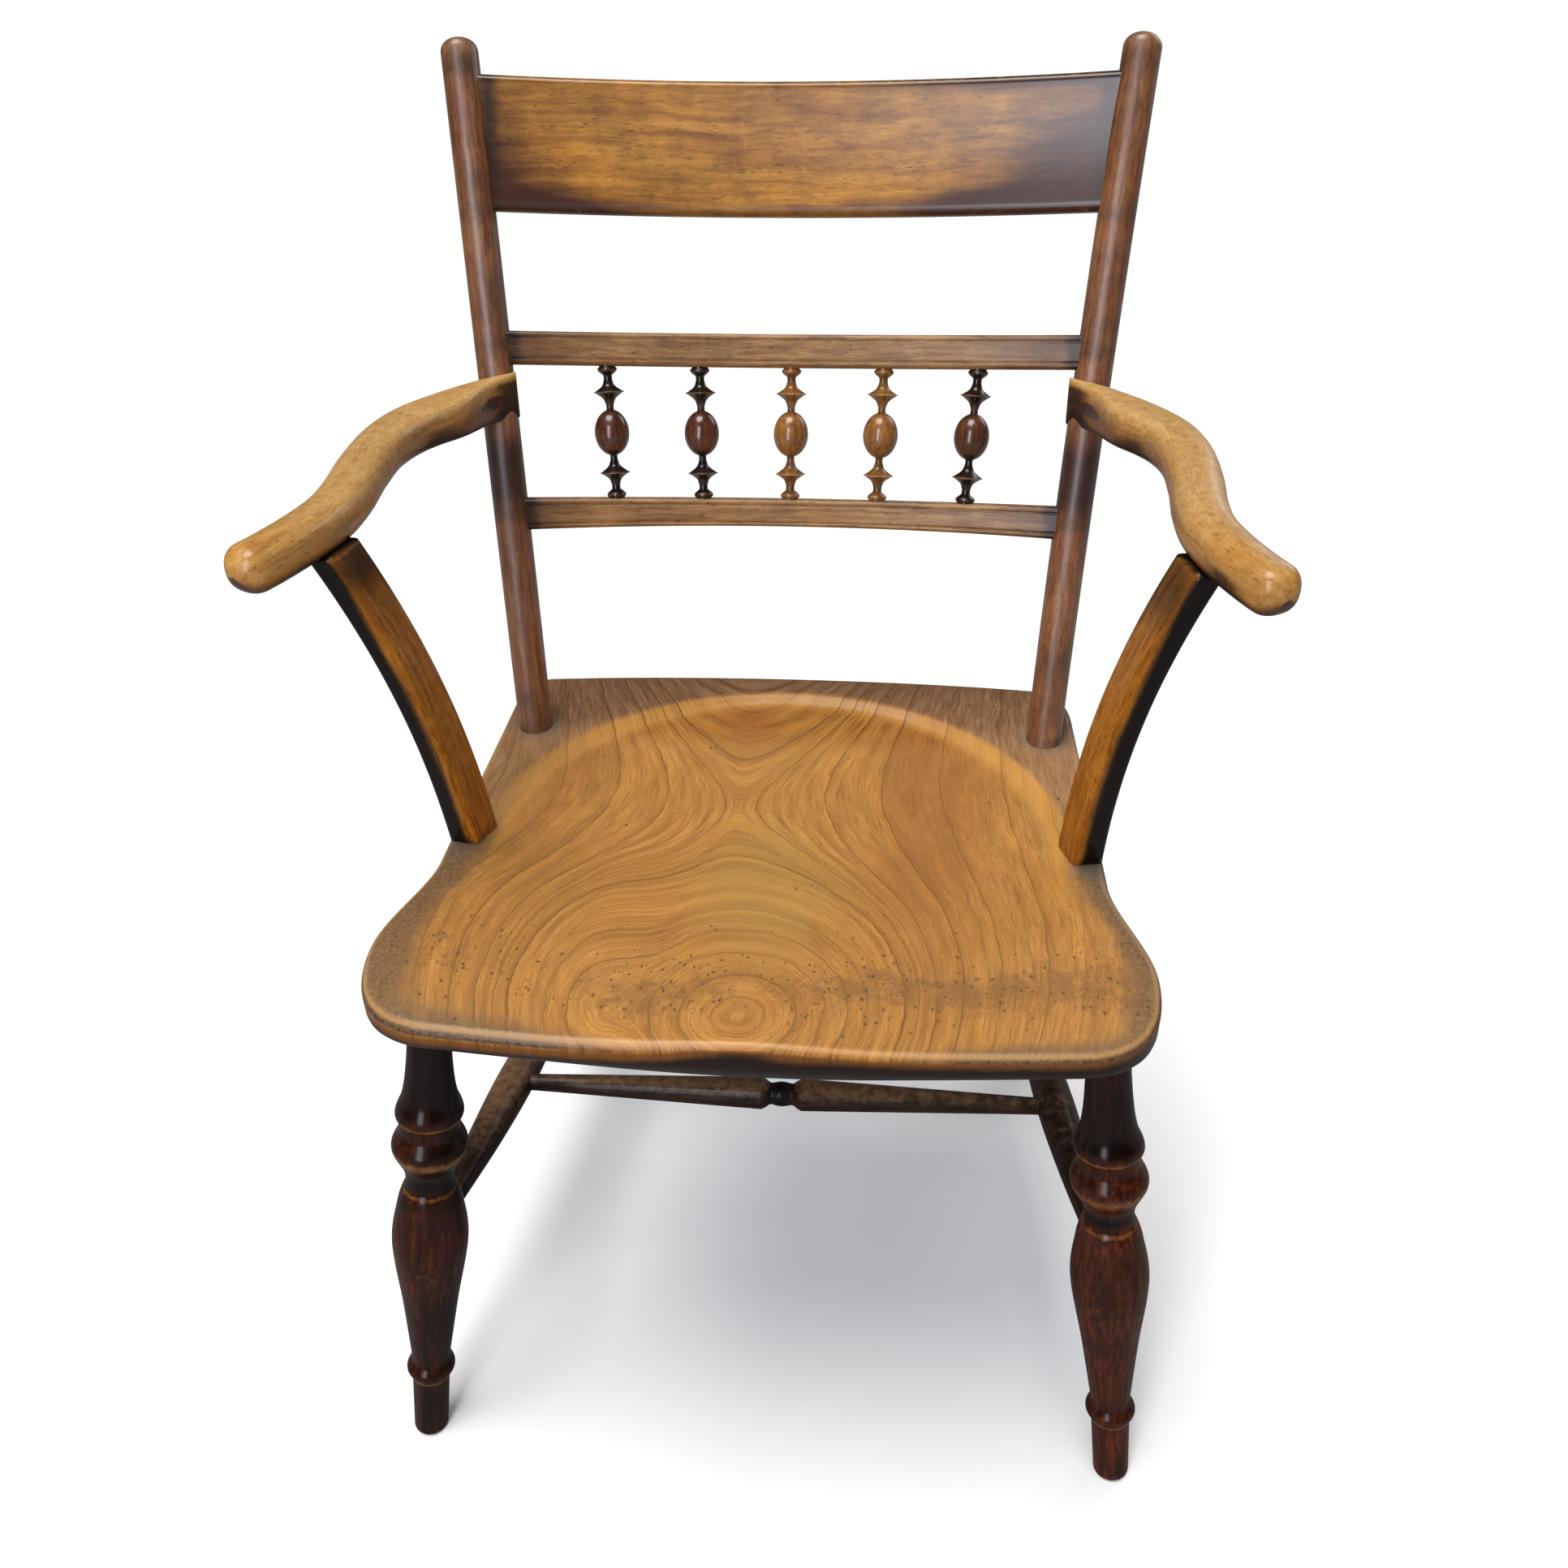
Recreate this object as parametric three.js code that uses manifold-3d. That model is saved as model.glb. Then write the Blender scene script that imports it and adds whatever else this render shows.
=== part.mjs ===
// A country elbow chair with a scrolled-back frame, five turned spindles and a saddled elm seat.
// Millimetres, +Z up. The sitter faces -Y, and left and right are the sitter's, so left is +X.
// Until the last lines, y runs back from the front edge of the seat.
import * as THREE from "three";
import { mergeVertices } from "three/addons/utils/BufferGeometryUtils.js";
import Module from "manifold-3d";

const wasm = await Module();
wasm.setup();

// Overall sizes
const seatHeight = 445; // floor to the flat ledge behind the sitter
const seatWidth = 468; // across the front corners
const seatDepth = 405;
const seatThickness = 34;
const backRise = 447; // seat to the top of the posts
const backLean = 143; // how far back the post tops stand from their feet
const backFlare = 36; // how far out each post top stands from its foot
const armHeight = 248; // seat to the top of the arms

// Joints
const clearance = 0.3; // glue gap round every tenon and at every shoulder
const overrun = 12; // how far a piece or cut runs past the face that trims it
const weld = 0.0001; // points closer than this are one point
const nudgeShare = 0.001; // step along a curve that gives its direction
const tipShare = 0.1; // a rounded end closes at this share of its width

// Seat outline
const seatWaistWidth = 430; // where the arm supports stand
const seatRearWidth = 426;
const frontCornerSetback = 68; // front edge to the widest place
const frontCornerRun = 44; // corner's reach along the front edge
const frontEdgeBow = 7;
const waistSetback = 155;
const rearCornerSetback = 52; // back edge to where the side starts to turn
const rearCornerRun = 24;
const backEdgeBow = 9;
const cornerPullShare = 0.6; // how square the corners are
const sideEase = 28; // length of the soft bends of the side curve

// Seat edge and saddle
const edgeRound = 9;
const bevelRun = 7; // chamfer under the middle of the front edge
const bevelSideRun = 19; // chamfer under the sides
const bevelRise = 14;
const ridgeHalfWidth = 197; // half width of the carved hollow
const ridgeSetback = 23; // back edge to the back of the hollow
const ridgeLength = 185; // from the back of the hollow to where its sides run straight
const ridgeRun = 30; // width of the slope inside the ridge
const ridgeDrop = 4;
const bowlDrop = 7;
const frontFall = 9;
const frontFallRun = 95;
const pommelRise = 5.5;
const pommelHalfWidth = 60;

// Front legs: places of the top are where the axis meets the underside of the seat
const frontLegInset = 22; // from the widest part of the seat
const frontLegSetback = 102;
const frontLegSplay = 41; // outwards, from top to floor
const frontLegRake = 67; // forwards, from top to floor
// Rear legs
const rearLegInset = 58;
const rearLegSetIn = 93; // from the back edge
const rearLegSplay = 66;
const rearLegRake = 135;

// Leg turning, radii
const legFootRadius = 12.4;
const legFootTopRadius = 13.4;
const legAnkleRadius = 17.4;
const legShinRadius = 13.6;
const legBulbRadius = 26.2;
const legNeckRadius = 16.6;
const legShoulderRadius = 18.8;
const legRingRadius = 25.6;
const legNotchRadius = 20.5;
const legCupRadius = 22.8;
const legCupTopRadius = 22;
const legLowThighRadius = 18;
const legThighRadius = 15.4;
const legHighThighRadius = 14;
const legTopRadius = 13.5;
const legTenonRadius = 10;
const legTenonLength = 24;

// Stretchers
const stretcherEndRadius = 8;
const stretcherMiddleRadius = 15;
const stretcherSwellShare = 0.68; // how much of the swell is there halfway to the middle
const stretcherTenonReach = 8; // the ends stop this far short of the leg's axis
const frontStretcherShare = 0.435; // height on the front leg, at the bulb
const rearStretcherShare = 0.34; // height on the rear leg
const crossPlaceShare = 0.5; // along the side stretchers
const crossEndRadius = 7;
const crossSwellRadius = 12.2;
const crossNeckRadius = 8.2;
const crossBeadRadius = 9.8;
const crossBeadHalfWidth = 9;
const crossShoulderRun = 6.6; // from the neck beside the bead to the full swell
const crossSwellSetback = 32; // from the middle to where the swell begins to taper
const crossTenonReach = 4;

// Back posts
const postRadius = 12.4;
const postInset = 24.5; // axis in from the side of the seat at the back
const postSetIn = 84; // axis in front of the back edge
const postTenonRadius = 9;
const postTenonLength = 24;
const postDome = 9;
const leanStartShare = 0.6; // slope at the foot as a share of the mean slope
const flareStartShare = 0.55;

// Rails: heights are from the seat to the middle of the rail, measured upright
const lowerRailRise = 154.5;
const middleRailRise = 263;
const crestRise = 386.5;
const railHeight = 22.4;
const railThickness = 14;
const railCorner = 3;
const crestHeight = 86;
const crestThickness = 13;
const crestCorner = 4;
const backBow = 22; // how far the middle of each rail lies behind its ends
const railTenonHeight = 15;
const railTenonThickness = 7;
const railTenonCorner = 2;
const crestTenonHeight = 66;
const crestTenonThickness = 6;
const railTenonPast = 4; // how far a rail's tenon runs past the post's axis

// Spindles
const spindleCount = 5;
const spindlePitchLow = 61.5;
const spindlePitchHigh = 64.8;
const spindleCollarRadius = 6.6;
const spindleNeckRadius = 3;
const spindleWaistRadius = 2.6; // on both sides of the oval bead
const spindleDiscRadius = 11;
const spindleBeadRadius = 12.2;
const spindleTenonRadius = 3.6;
const spindleTenonLength = 8;
const spindleShoulderGap = 0.9; // the collars stand clear of the rails' tilted faces

// Arms
const armReach = 290; // from the post to the tip of the hand
const armOutset = 69; // from the inner end to the outermost centre line
const armInnerEnd = 9; // the arm starts this far inside the post's axis
const armLap = 6; // how deep the post is let into the back of the arm
const armWidth = 33;
const armThickness = 27;
const armPostThickness = 32; // at the post
const armPostShare = 0.25; // length over which it thins from there
const armCorner = 9;
const armTipWidth = 27;
const armRise = 9; // how much higher the hand is than the end at the post
const armDrop = 3; // how far the tip of the hand turns down
const armTipRound = 13;
const armCutRun = 50; // length of the slanting cut that ends the arm at the post
const armEdgeShare = 0.08; // how thick the cut leaves the very end, of the arm's width

// Arm supports
const supportFootWidth = 21;
const supportHeadWidth = 16;
const supportDepth = 30;
const supportCorner = 4;
const supportFootTurn = 0.22; // inner face turned forwards, radians
const supportHeadTurn = 0.08;
const supportInset = 14; // axis in from the edge of the seat at its waist
const supportSetback = 187;
const supportArmShare = 0.82; // where it meets the arm, along the arm's length
const supportHeadInset = 8.5; // inwards from the arm's centre line
const supportCurveShare = 2.37; // the outward sweep goes with this power of the rise
const supportHeadLap = 3; // the head rises this far past the arm's underside, into its rounding
const supportTenonRadius = 7;
const supportTenonLength = 20;

// Arm pegs
const pegRadius = 5.2;
const pegSetIn = 3; // from the post's axis towards the sitter
const pegEndGap = 6; // wood left behind the peg in the post
const pegProud = 0.5;

// Fineness of the mesh
const outlineSteps = 28; // along half the outline of the seat
const seatRings = 7;
const turnedSides = 14;
const spindleSides = 10;
const postSides = 14;
const postSteps = 10;
const railSteps = 10;
const armSteps = 18;
const supportSteps = 9;
const domeSteps = 3;
const cornerSteps = 2;
const bulbSteps = 8;
const thighSteps = 6;
const discSteps = 3;
const beadSteps = 4;
const filletSteps = 2;
const stretcherSteps = 10;

const seatUnderside = seatHeight - seatThickness;
const up = new THREE.Vector3(0, 0, 1);
const sideways = new THREE.Vector3(1, 0, 0);
const downwards = [0, 0, -1];
const sides = [
  ["left", 1],
  ["right", -1],
];

// Solids

function solid(geometry) {
  const plain = geometry.clone();
  plain.deleteAttribute("normal");
  plain.deleteAttribute("uv");
  const merged = mergeVertices(plain, weld);
  const corners = merged.index.array;
  const kept = [];
  for (let i = 0; i < corners.length; i += 3) {
    const [a, b, c] = corners.slice(i, i + 3);
    if (a !== b && b !== c && c !== a) kept.push(a, b, c);
  }
  const vertProperties = new Float32Array(merged.attributes.position.array);
  const triVerts = new Uint32Array(kept);
  return new wasm.Manifold(new wasm.Mesh({ numProp: 3, vertProperties, triVerts }));
}

function geometryOf(body) {
  const mesh = body.getMesh();
  const geometry = new THREE.BufferGeometry();
  geometry.setAttribute("position", new THREE.BufferAttribute(mesh.vertProperties, mesh.numProp));
  geometry.setIndex(new THREE.BufferAttribute(mesh.triVerts, 1));
  geometry.computeVertexNormals();
  return geometry;
}

// A skin over rings of points, closed by a fan at each end
function loft(rings) {
  const count = rings[0].length;
  const points = rings.flat();
  const ends = [rings[0], rings[rings.length - 1]];
  for (const ring of ends) {
    const middle = new THREE.Vector3();
    for (const point of ring) middle.addScaledVector(point, 1 / count);
    points.push(middle);
  }
  const firstMiddle = points.length - 2;
  const lastMiddle = points.length - 1;
  const lastRing = (rings.length - 1) * count;
  const index = [];
  for (let j = 0; j < count; j++) {
    const k = (j + 1) % count;
    for (let i = 0; i < lastRing; i += count) {
      index.push(i + j, i + k, i + count + k, i + j, i + count + k, i + count + j);
    }
    index.push(firstMiddle, k, j);
    index.push(lastMiddle, lastRing + j, lastRing + k);
  }
  const geometry = new THREE.BufferGeometry().setFromPoints(points);
  geometry.setIndex(index);
  return solid(geometry);
}

// Section corners are listed anticlockwise in a frame of [across, other]
function roundSection(radius, count) {
  const section = [];
  for (let i = 0; i < count; i++) {
    const angle = (i / count) * 2 * Math.PI;
    section.push([radius * Math.cos(angle), radius * Math.sin(angle)]);
  }
  return section;
}

function softBoxSection(width, height, corner) {
  const section = [];
  const quarters = [[1, 1], [-1, 1], [-1, -1], [1, -1]];
  quarters.forEach(([signX, signY], quarter) => {
    for (let i = 0; i <= cornerSteps; i++) {
      const angle = (quarter + i / cornerSteps) * (Math.PI / 2);
      const x = signX * (width / 2 - corner) + corner * Math.cos(angle);
      const y = signY * (height / 2 - corner) + corner * Math.sin(angle);
      section.push([x, y]);
    }
  });
  return section;
}

// A section carried along pointAt(t), with its first axis as near to across as it can lie
function sweep(pointAt, stations, sectionAt, across) {
  const nudge = nudgeShare * (stations[stations.length - 1] - stations[0]);
  const rings = stations.map((t) => {
    const middle = pointAt(t);
    const along = pointAt(t + nudge).sub(pointAt(t - nudge)).normalize();
    const first = across.clone().addScaledVector(along, -across.dot(along)).normalize();
    const second = along.clone().cross(first);
    return sectionAt(t).map(([a, b]) =>
      middle.clone().addScaledVector(first, a).addScaledVector(second, b));
  });
  return loft(rings);
}

function evenly(from, to, steps) {
  return Array.from({ length: steps + 1 }, (_, i) => from + ((to - from) * i) / steps);
}

// Turned work: the profile is a list of smooth runs of [height, radius], sharp where runs meet
function turned(runs, count) {
  const profile = [];
  for (const { points, steps } of runs) {
    const curve = new THREE.SplineCurve(points.map(([height, radius]) => new THREE.Vector2(radius, height)));
    profile.push(...curve.getPoints(steps));
  }
  const bottom = new THREE.Vector2(0, profile[0].y);
  const top = new THREE.Vector2(0, profile[profile.length - 1].y);
  const lathe = new THREE.LatheGeometry([bottom, ...profile, top], count);
  return solid(lathe.rotateX(Math.PI / 2));
}

// The frame whose +Z runs from one point towards another
function frameAlong(from, to) {
  const turn = new THREE.Quaternion().setFromUnitVectors(up, to.clone().sub(from).normalize());
  const whole = new THREE.Vector3(1, 1, 1);
  return new THREE.Matrix4().compose(from, turn, whole);
}

function rod(from, to, radius, count) {
  const length = from.distanceTo(to);
  const cylinder = new THREE.CylinderGeometry(radius, radius, length, count);
  cylinder.rotateX(Math.PI / 2).translate(0, 0, length / 2);
  return solid(cylinder.applyMatrix4(frameAlong(from, to)));
}

// The hole for a round tenon: wider all round, deeper at its end, open at its mouth
function socket(mouth, end, radius, count) {
  const along = end.clone().sub(mouth).normalize();
  const outside = mouth.clone().addScaledVector(along, -overrun);
  const bottom = end.clone().addScaledVector(along, clearance);
  const flatsRadius = (radius + clearance) / Math.cos(Math.PI / count);
  return rod(outside, bottom, flatsRadius, count);
}

function slab(fromZ, toZ) {
  const reach = 4 * (seatWidth + seatDepth + backLean);
  const box = new THREE.BoxGeometry(reach, reach, toZ - fromZ);
  return solid(box.translate(0, 0, (fromZ + toZ) / 2));
}

// Materials

function wood(color, roughness) {
  return new THREE.MeshStandardMaterial({ color, roughness, metalness: 0 });
}

const elm = wood("#a8703a", 0.42);
const darkLeg = wood("#3a1d12", 0.4);
const wornStretcher = wood("#6b4326", 0.5);
const postWood = wood("#6e3a22", 0.38);
const railWood = wood("#7a4a26", 0.42);
const paleArm = wood("#b27a3e", 0.42);
const supportWood = wood("#7d4d20", 0.45);
const goldenSpindle = wood("#8f5526", 0.4);
const darkSpindle = wood("#3f2015", 0.4);

// Scene graph

const chair = new THREE.Group();
const undercarriage = new THREE.Group();
const back = new THREE.Group();
const armwork = new THREE.Group();
chair.add(undercarriage, back, armwork);

// Each piece is worked out in the chair's frame and kept in its own, given by place
function addPiece(group, name, body, material, place = new THREE.Matrix4()) {
  const geometry = geometryOf(body).applyMatrix4(place.clone().invert());
  const mesh = new THREE.Mesh(geometry, material);
  mesh.name = name;
  mesh.applyMatrix4(place);
  group.add(mesh);
}

// Seat

function halfOutline() {
  const front = seatWidth / 2;
  const waist = seatWaistWidth / 2;
  const rear = seatRearWidth / 2;
  const sideEnd = seatDepth - rearCornerSetback;
  const backCorner = seatDepth - backEdgeBow;
  const pull = cornerPullShare;
  const path = new THREE.Path();
  path.moveTo(0, 0);
  path.quadraticCurveTo((front - frontCornerRun) / 2, 0, front - frontCornerRun, frontEdgeBow);
  path.bezierCurveTo(
    front - frontCornerRun * (1 - pull), frontEdgeBow * (1 + pull),
    front, frontCornerSetback * (1 - pull),
    front, frontCornerSetback);
  path.bezierCurveTo(
    front, frontCornerSetback + sideEase,
    waist, waistSetback - sideEase,
    waist, waistSetback);
  path.bezierCurveTo(waist, waistSetback + sideEase, rear, sideEnd - sideEase, rear, sideEnd);
  path.bezierCurveTo(
    rear, sideEnd + (rearCornerSetback - backEdgeBow) * pull,
    rear - rearCornerRun * (1 - pull), backCorner,
    rear - rearCornerRun, backCorner);
  path.quadraticCurveTo(rear / 2, seatDepth, 0, seatDepth);
  return path.getSpacedPoints(outlineSteps);
}

function seatOutline() {
  const half = halfOutline();
  const mirrored = half.slice(1, -1).reverse().map((p) => new THREE.Vector2(-p.x, p.y));
  return [...half, ...mirrored];
}

// The outline moved in square to itself, by a distance given for each x
function insetOutline(outline, insetAt) {
  const count = outline.length;
  return outline.map((point, i) => {
    const before = outline[(i + count - 1) % count];
    const after = outline[(i + 1) % count];
    const along = after.clone().sub(before).normalize();
    const inset = insetAt(point.x);
    return new THREE.Vector2(point.x - along.y * inset, point.y + along.x * inset);
  });
}

// Height of the carved top: a ridge round the sitter, a bowl, a fall to the front and a pommel
function seatTop(x, y) {
  const ridgeMiddle = seatDepth - ridgeSetback - ridgeLength;
  const across = x / ridgeHalfWidth;
  const behind = Math.max(0, y - ridgeMiddle) / ridgeLength;
  const inside = Math.max(0, 1 - Math.hypot(across, behind));
  const lip = THREE.MathUtils.smoothstep(inside, 0, ridgeRun / ridgeHalfWidth);
  const bowl = inside * (2 - inside);
  const frontShare = Math.max(0, 1 - y / frontFallRun);
  const pommel = pommelRise * Math.exp(-((x / pommelHalfWidth) ** 2)) * frontShare;
  const hollow = (lip * ridgeDrop + bowl * bowlDrop) * (1 - frontShare ** 2);
  return seatHeight - hollow - frontFall * frontShare ** 2 + pommel;
}

function makeSeatBlank() {
  const outline = seatOutline();
  const ringAt = (insetAt, heightAt) =>
    insetOutline(outline, insetAt).map((p) => new THREE.Vector3(p.x, p.y, heightAt(p.x, p.y)));
  const bevelAt = (x) => THREE.MathUtils.lerp(bevelRun, bevelSideRun, (x / (seatWidth / 2)) ** 2);
  const rings = [
    ringAt(bevelAt, () => seatUnderside),
    ringAt(() => 0, () => seatUnderside + bevelRise),
  ];
  for (const angle of evenly(0, Math.PI / 2, domeSteps)) {
    const inset = edgeRound * (1 - Math.cos(angle));
    const drop = edgeRound * (1 - Math.sin(angle));
    rings.push(ringAt(() => inset, (x, y) => seatTop(x, y) - drop));
  }
  const brim = insetOutline(outline, () => edgeRound);
  for (let i = 1; i < seatRings; i++) {
    const share = 1 - (i / seatRings) ** (1 + i / seatRings);
    rings.push(brim.map((p) => {
      const x = p.x * share;
      const y = seatDepth / 2 + (p.y - seatDepth / 2) * share;
      return new THREE.Vector3(x, y, seatTop(x, y));
    }));
  }
  return loft(rings);
}

// Legs

function legAxis(side, isFront) {
  const topX = isFront ? seatWidth / 2 - frontLegInset : seatRearWidth / 2 - rearLegInset;
  const topY = isFront ? frontLegSetback : seatDepth - rearLegSetIn;
  const splay = isFront ? frontLegSplay : rearLegSplay;
  const rake = isFront ? -frontLegRake : rearLegRake;
  const top = new THREE.Vector3(side * topX, topY, seatUnderside);
  const foot = new THREE.Vector3(side * (topX + splay), topY + rake, 0);
  return { top, foot, length: top.distanceTo(foot), at: (share) => foot.clone().lerp(top, share) };
}

// Heights in the turning, as shares of the leg's length
const ankleShares = [0.128, 0.147, 0.166];
const bulbShares = [0.17, 0.3, 0.435, 0.515, 0.55];
const neckShares = [0.556, 0.578, 0.6];
const ringShares = [0.606, 0.638, 0.67];
const cupShares = [0.688, 0.7, 0.712];
const thighShares = [0.712, 0.74, 0.79, 0.87];
const calfShare = 0.46; // how much of the bulb's swell is there at its second height
const kneeShare = 0.5; // the same above the bulb

function legTurning(length) {
  const { lerp } = THREE.MathUtils;
  const heightsOf = (shares) => shares.map((share) => share * length);
  const run = (heights, radii, steps) => ({ points: heights.map((height, i) => [height, radii[i]]), steps });
  const calfRadius = lerp(legShinRadius, legBulbRadius, calfShare);
  const kneeRadius = lerp(legBulbRadius, legShoulderRadius, kneeShare);
  const ankleHeights = heightsOf(ankleShares);
  const thighHeights = [...heightsOf(thighShares), length, length + overrun];
  return turned([
    run([-overrun, ankleHeights[0]], [legFootRadius, legFootTopRadius], 1),
    run(ankleHeights, [legFootTopRadius, legAnkleRadius, legFootTopRadius], beadSteps),
    run(heightsOf(bulbShares),
      [legShinRadius, calfRadius, legBulbRadius, kneeRadius, legShoulderRadius], bulbSteps),
    run(heightsOf(neckShares), [legNeckRadius, legNeckRadius, legShoulderRadius], filletSteps),
    run(heightsOf(ringShares), [legNotchRadius, legRingRadius, legNotchRadius], beadSteps),
    run(heightsOf(cupShares), [legNotchRadius, legCupRadius, legCupTopRadius], filletSteps),
    run(thighHeights,
      [legCupTopRadius, legLowThighRadius, legThighRadius, legHighThighRadius, legTopRadius, legTopRadius],
      thighSteps),
  ], turnedSides);
}

function legPiece(axis, seatBlank, stretcherHole) {
  const place = frameAlong(axis.foot, axis.top);
  const along = axis.top.clone().sub(axis.foot).normalize();
  const tenonStart = axis.top.clone().addScaledVector(along, -overrun);
  const tenonEnd = axis.top.clone().addScaledVector(along, legTenonLength);
  const body = legTurning(axis.length)
    .transform(place.elements)
    .subtract(slab(-seatHeight, 0))
    .subtract(seatBlank.translate([0, 0, -clearance]))
    .add(rod(tenonStart, tenonEnd, legTenonRadius, turnedSides))
    .subtract(stretcherHole);
  return { body, place, hole: socket(axis.top, tenonEnd, legTenonRadius, turnedSides) };
}

// Stretchers

function stretcherEnds(from, to, reach) {
  const along = to.clone().sub(from).normalize();
  return [from.clone().addScaledVector(along, reach), to.clone().addScaledVector(along, -reach)];
}

function sideStretcherTurning(length) {
  const middle = length / 2;
  const straight = legBulbRadius + overrun;
  const quarter = (straight + middle) / 2;
  const quarterRadius = THREE.MathUtils.lerp(stretcherEndRadius, stretcherMiddleRadius, stretcherSwellShare);
  const points = [
    [0, stretcherEndRadius],
    [straight, stretcherEndRadius],
    [quarter, quarterRadius],
    [middle, stretcherMiddleRadius],
    [length - quarter, quarterRadius],
    [length - straight, stretcherEndRadius],
    [length, stretcherEndRadius],
  ];
  return turned([{ points, steps: stretcherSteps }], turnedSides);
}

// Two long swells that meet at a small bead between two necks
function crossStretcherTurning(length) {
  const middle = length / 2;
  const neck = crossBeadHalfWidth;
  const straight = stretcherMiddleRadius + overrun;
  const half = (side) => [
    [middle + side * middle, crossEndRadius],
    [middle + side * (middle - straight), crossEndRadius],
    [middle + side * crossSwellSetback, crossSwellRadius],
    [middle + side * (neck + crossShoulderRun), crossSwellRadius],
    [middle + side * neck, crossNeckRadius],
  ];
  const bead = [
    [middle - neck, crossNeckRadius],
    [middle, crossBeadRadius],
    [middle + neck, crossNeckRadius],
  ];
  return turned([
    { points: half(-1), steps: bulbSteps },
    { points: bead, steps: beadSteps },
    { points: half(1).reverse(), steps: bulbSteps },
  ], turnedSides);
}

// Back

// A post's axis by its share of the rise; shares below zero run down into the seat
function postAxis(side, share) {
  const lean = leanStartShare * share + (1 - leanStartShare) * share ** 2;
  const flare = flareStartShare * share + (1 - flareStartShare) * share ** 2;
  const x = seatRearWidth / 2 - postInset + backFlare * flare;
  const y = seatDepth - postSetIn + backLean * lean;
  return new THREE.Vector3(side * x, y, seatHeight + backRise * share);
}

function postBody(side, grow) {
  const domeShare = postDome / backRise;
  const stations = evenly(-overrun / backRise, 1 - domeShare, postSteps);
  for (const angle of evenly(0, Math.PI / 2, domeSteps).slice(1)) {
    stations.push(1 - domeShare + domeShare * Math.sin(angle));
  }
  const radiusAt = (share) => {
    const intoDome = THREE.MathUtils.clamp((share - (1 - domeShare)) / domeShare, 0, 1);
    return grow + postRadius * Math.max(tipShare, Math.sqrt(1 - intoDome ** 2));
  };
  const section = (share) => roundSection(radiusAt(share), postSides);
  return sweep((share) => postAxis(side, share), stations, section, sideways);
}

// The middle line of a rail: its ends on the posts' axes, its middle bowed back square to them
function railLine(rise) {
  const share = rise / backRise;
  const end = postAxis(1, share);
  const along = postAxis(1, share + nudgeShare).sub(postAxis(1, share - nudgeShare));
  const tilt = along.setX(0).normalize();
  const behind = new THREE.Vector3(0, tilt.z, -tilt.y);
  const pointAt = (x) =>
    new THREE.Vector3(x, end.y, end.z).addScaledVector(behind, backBow * (1 - (x / end.x) ** 2));
  return { pointAt, tilt, halfSpan: end.x };
}

function railBar(line, halfLength, height, thickness, corner) {
  const stations = evenly(-halfLength, halfLength, railSteps);
  return sweep(line.pointAt, stations, () => softBoxSection(height, thickness, corner), line.tilt);
}

function railPiece(line, size, posts) {
  const reach = line.halfSpan + railTenonPast;
  const { height, thickness, corner, tenonHeight, tenonThickness } = size;
  const growth = 2 * clearance;
  let body = railBar(line, line.halfSpan, height, thickness, corner);
  for (const post of posts) body = body.subtract(post);
  body = body.add(railBar(line, reach, tenonHeight, tenonThickness, railTenonCorner));
  const mortise = railBar(
    line, reach + clearance, tenonHeight + growth, tenonThickness + growth, railTenonCorner);
  return { body, mortise };
}

// Heights in the turning, as shares of the spindle's length, the same from both ends
const collarShares = [0, 0.025, 0.06];
const discLowShares = [0.095, 0.14, 0.175, 0.187];
const discHighShares = [0.187, 0.2, 0.24, 0.29];
const discSwellShares = [0, 0.22, 0.8, 1]; // how much of the disc's swell is there at each of its heights
const ovalHalfShare = 0.178; // half the length of the oval bead

function spindleTurning(length) {
  const between = length - 2 * spindleShoulderGap;
  const run = (shares, radii, steps) => ({
    points: shares.map((share, i) => [spindleShoulderGap + share * between, radii[i]]),
    steps,
  });
  const mirror = ({ points, steps }) => ({
    points: points.map(([height, radius]) => [length - height, radius]).reverse(),
    steps,
  });
  const { lerp } = THREE.MathUtils;
  const neck = spindleNeckRadius;
  const waist = spindleWaistRadius;
  const rising = discSwellShares.map((share) => lerp(neck, spindleDiscRadius, share));
  const falling = discSwellShares.map((share) => lerp(waist, spindleDiscRadius, share)).reverse();
  const tenon = [[-spindleTenonLength, spindleTenonRadius], [spindleShoulderGap, spindleTenonRadius]];
  const half = [
    { points: tenon, steps: 1 },
    run(collarShares, [spindleCollarRadius, spindleCollarRadius, neck], filletSteps),
    run(discLowShares, rising, discSteps),
    run(discHighShares, falling, discSteps),
  ];
  const oval = evenly(0, Math.PI, bulbSteps).map((angle) => [
    length / 2 - ovalHalfShare * between * Math.cos(angle),
    Math.max(waist, spindleBeadRadius * Math.sin(angle)),
  ]);
  return turned([...half, { points: oval, steps: bulbSteps }, ...half.map(mirror).reverse()], spindleSides);
}

// Arms

const armMiddle = seatHeight + armHeight - armThickness / 2; // height of the arm's centre line at the post
// Along the arm from the post to the hand: share of the reach, share of the outset
const armPlanShares = [
  [-0.02, -0.175],
  [0, 0],
  [0.03, 0.17],
  [0.1, 0.43],
  [0.21, 0.67],
  [0.33, 0.76],
  [0.485, 0.74],
  [0.63, 0.68],
  [0.74, 0.67],
  [0.84, 0.74],
  [0.93, 0.86],
  [1, 1],
];
const handShare = 0.75; // where the hand begins to turn down

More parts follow.
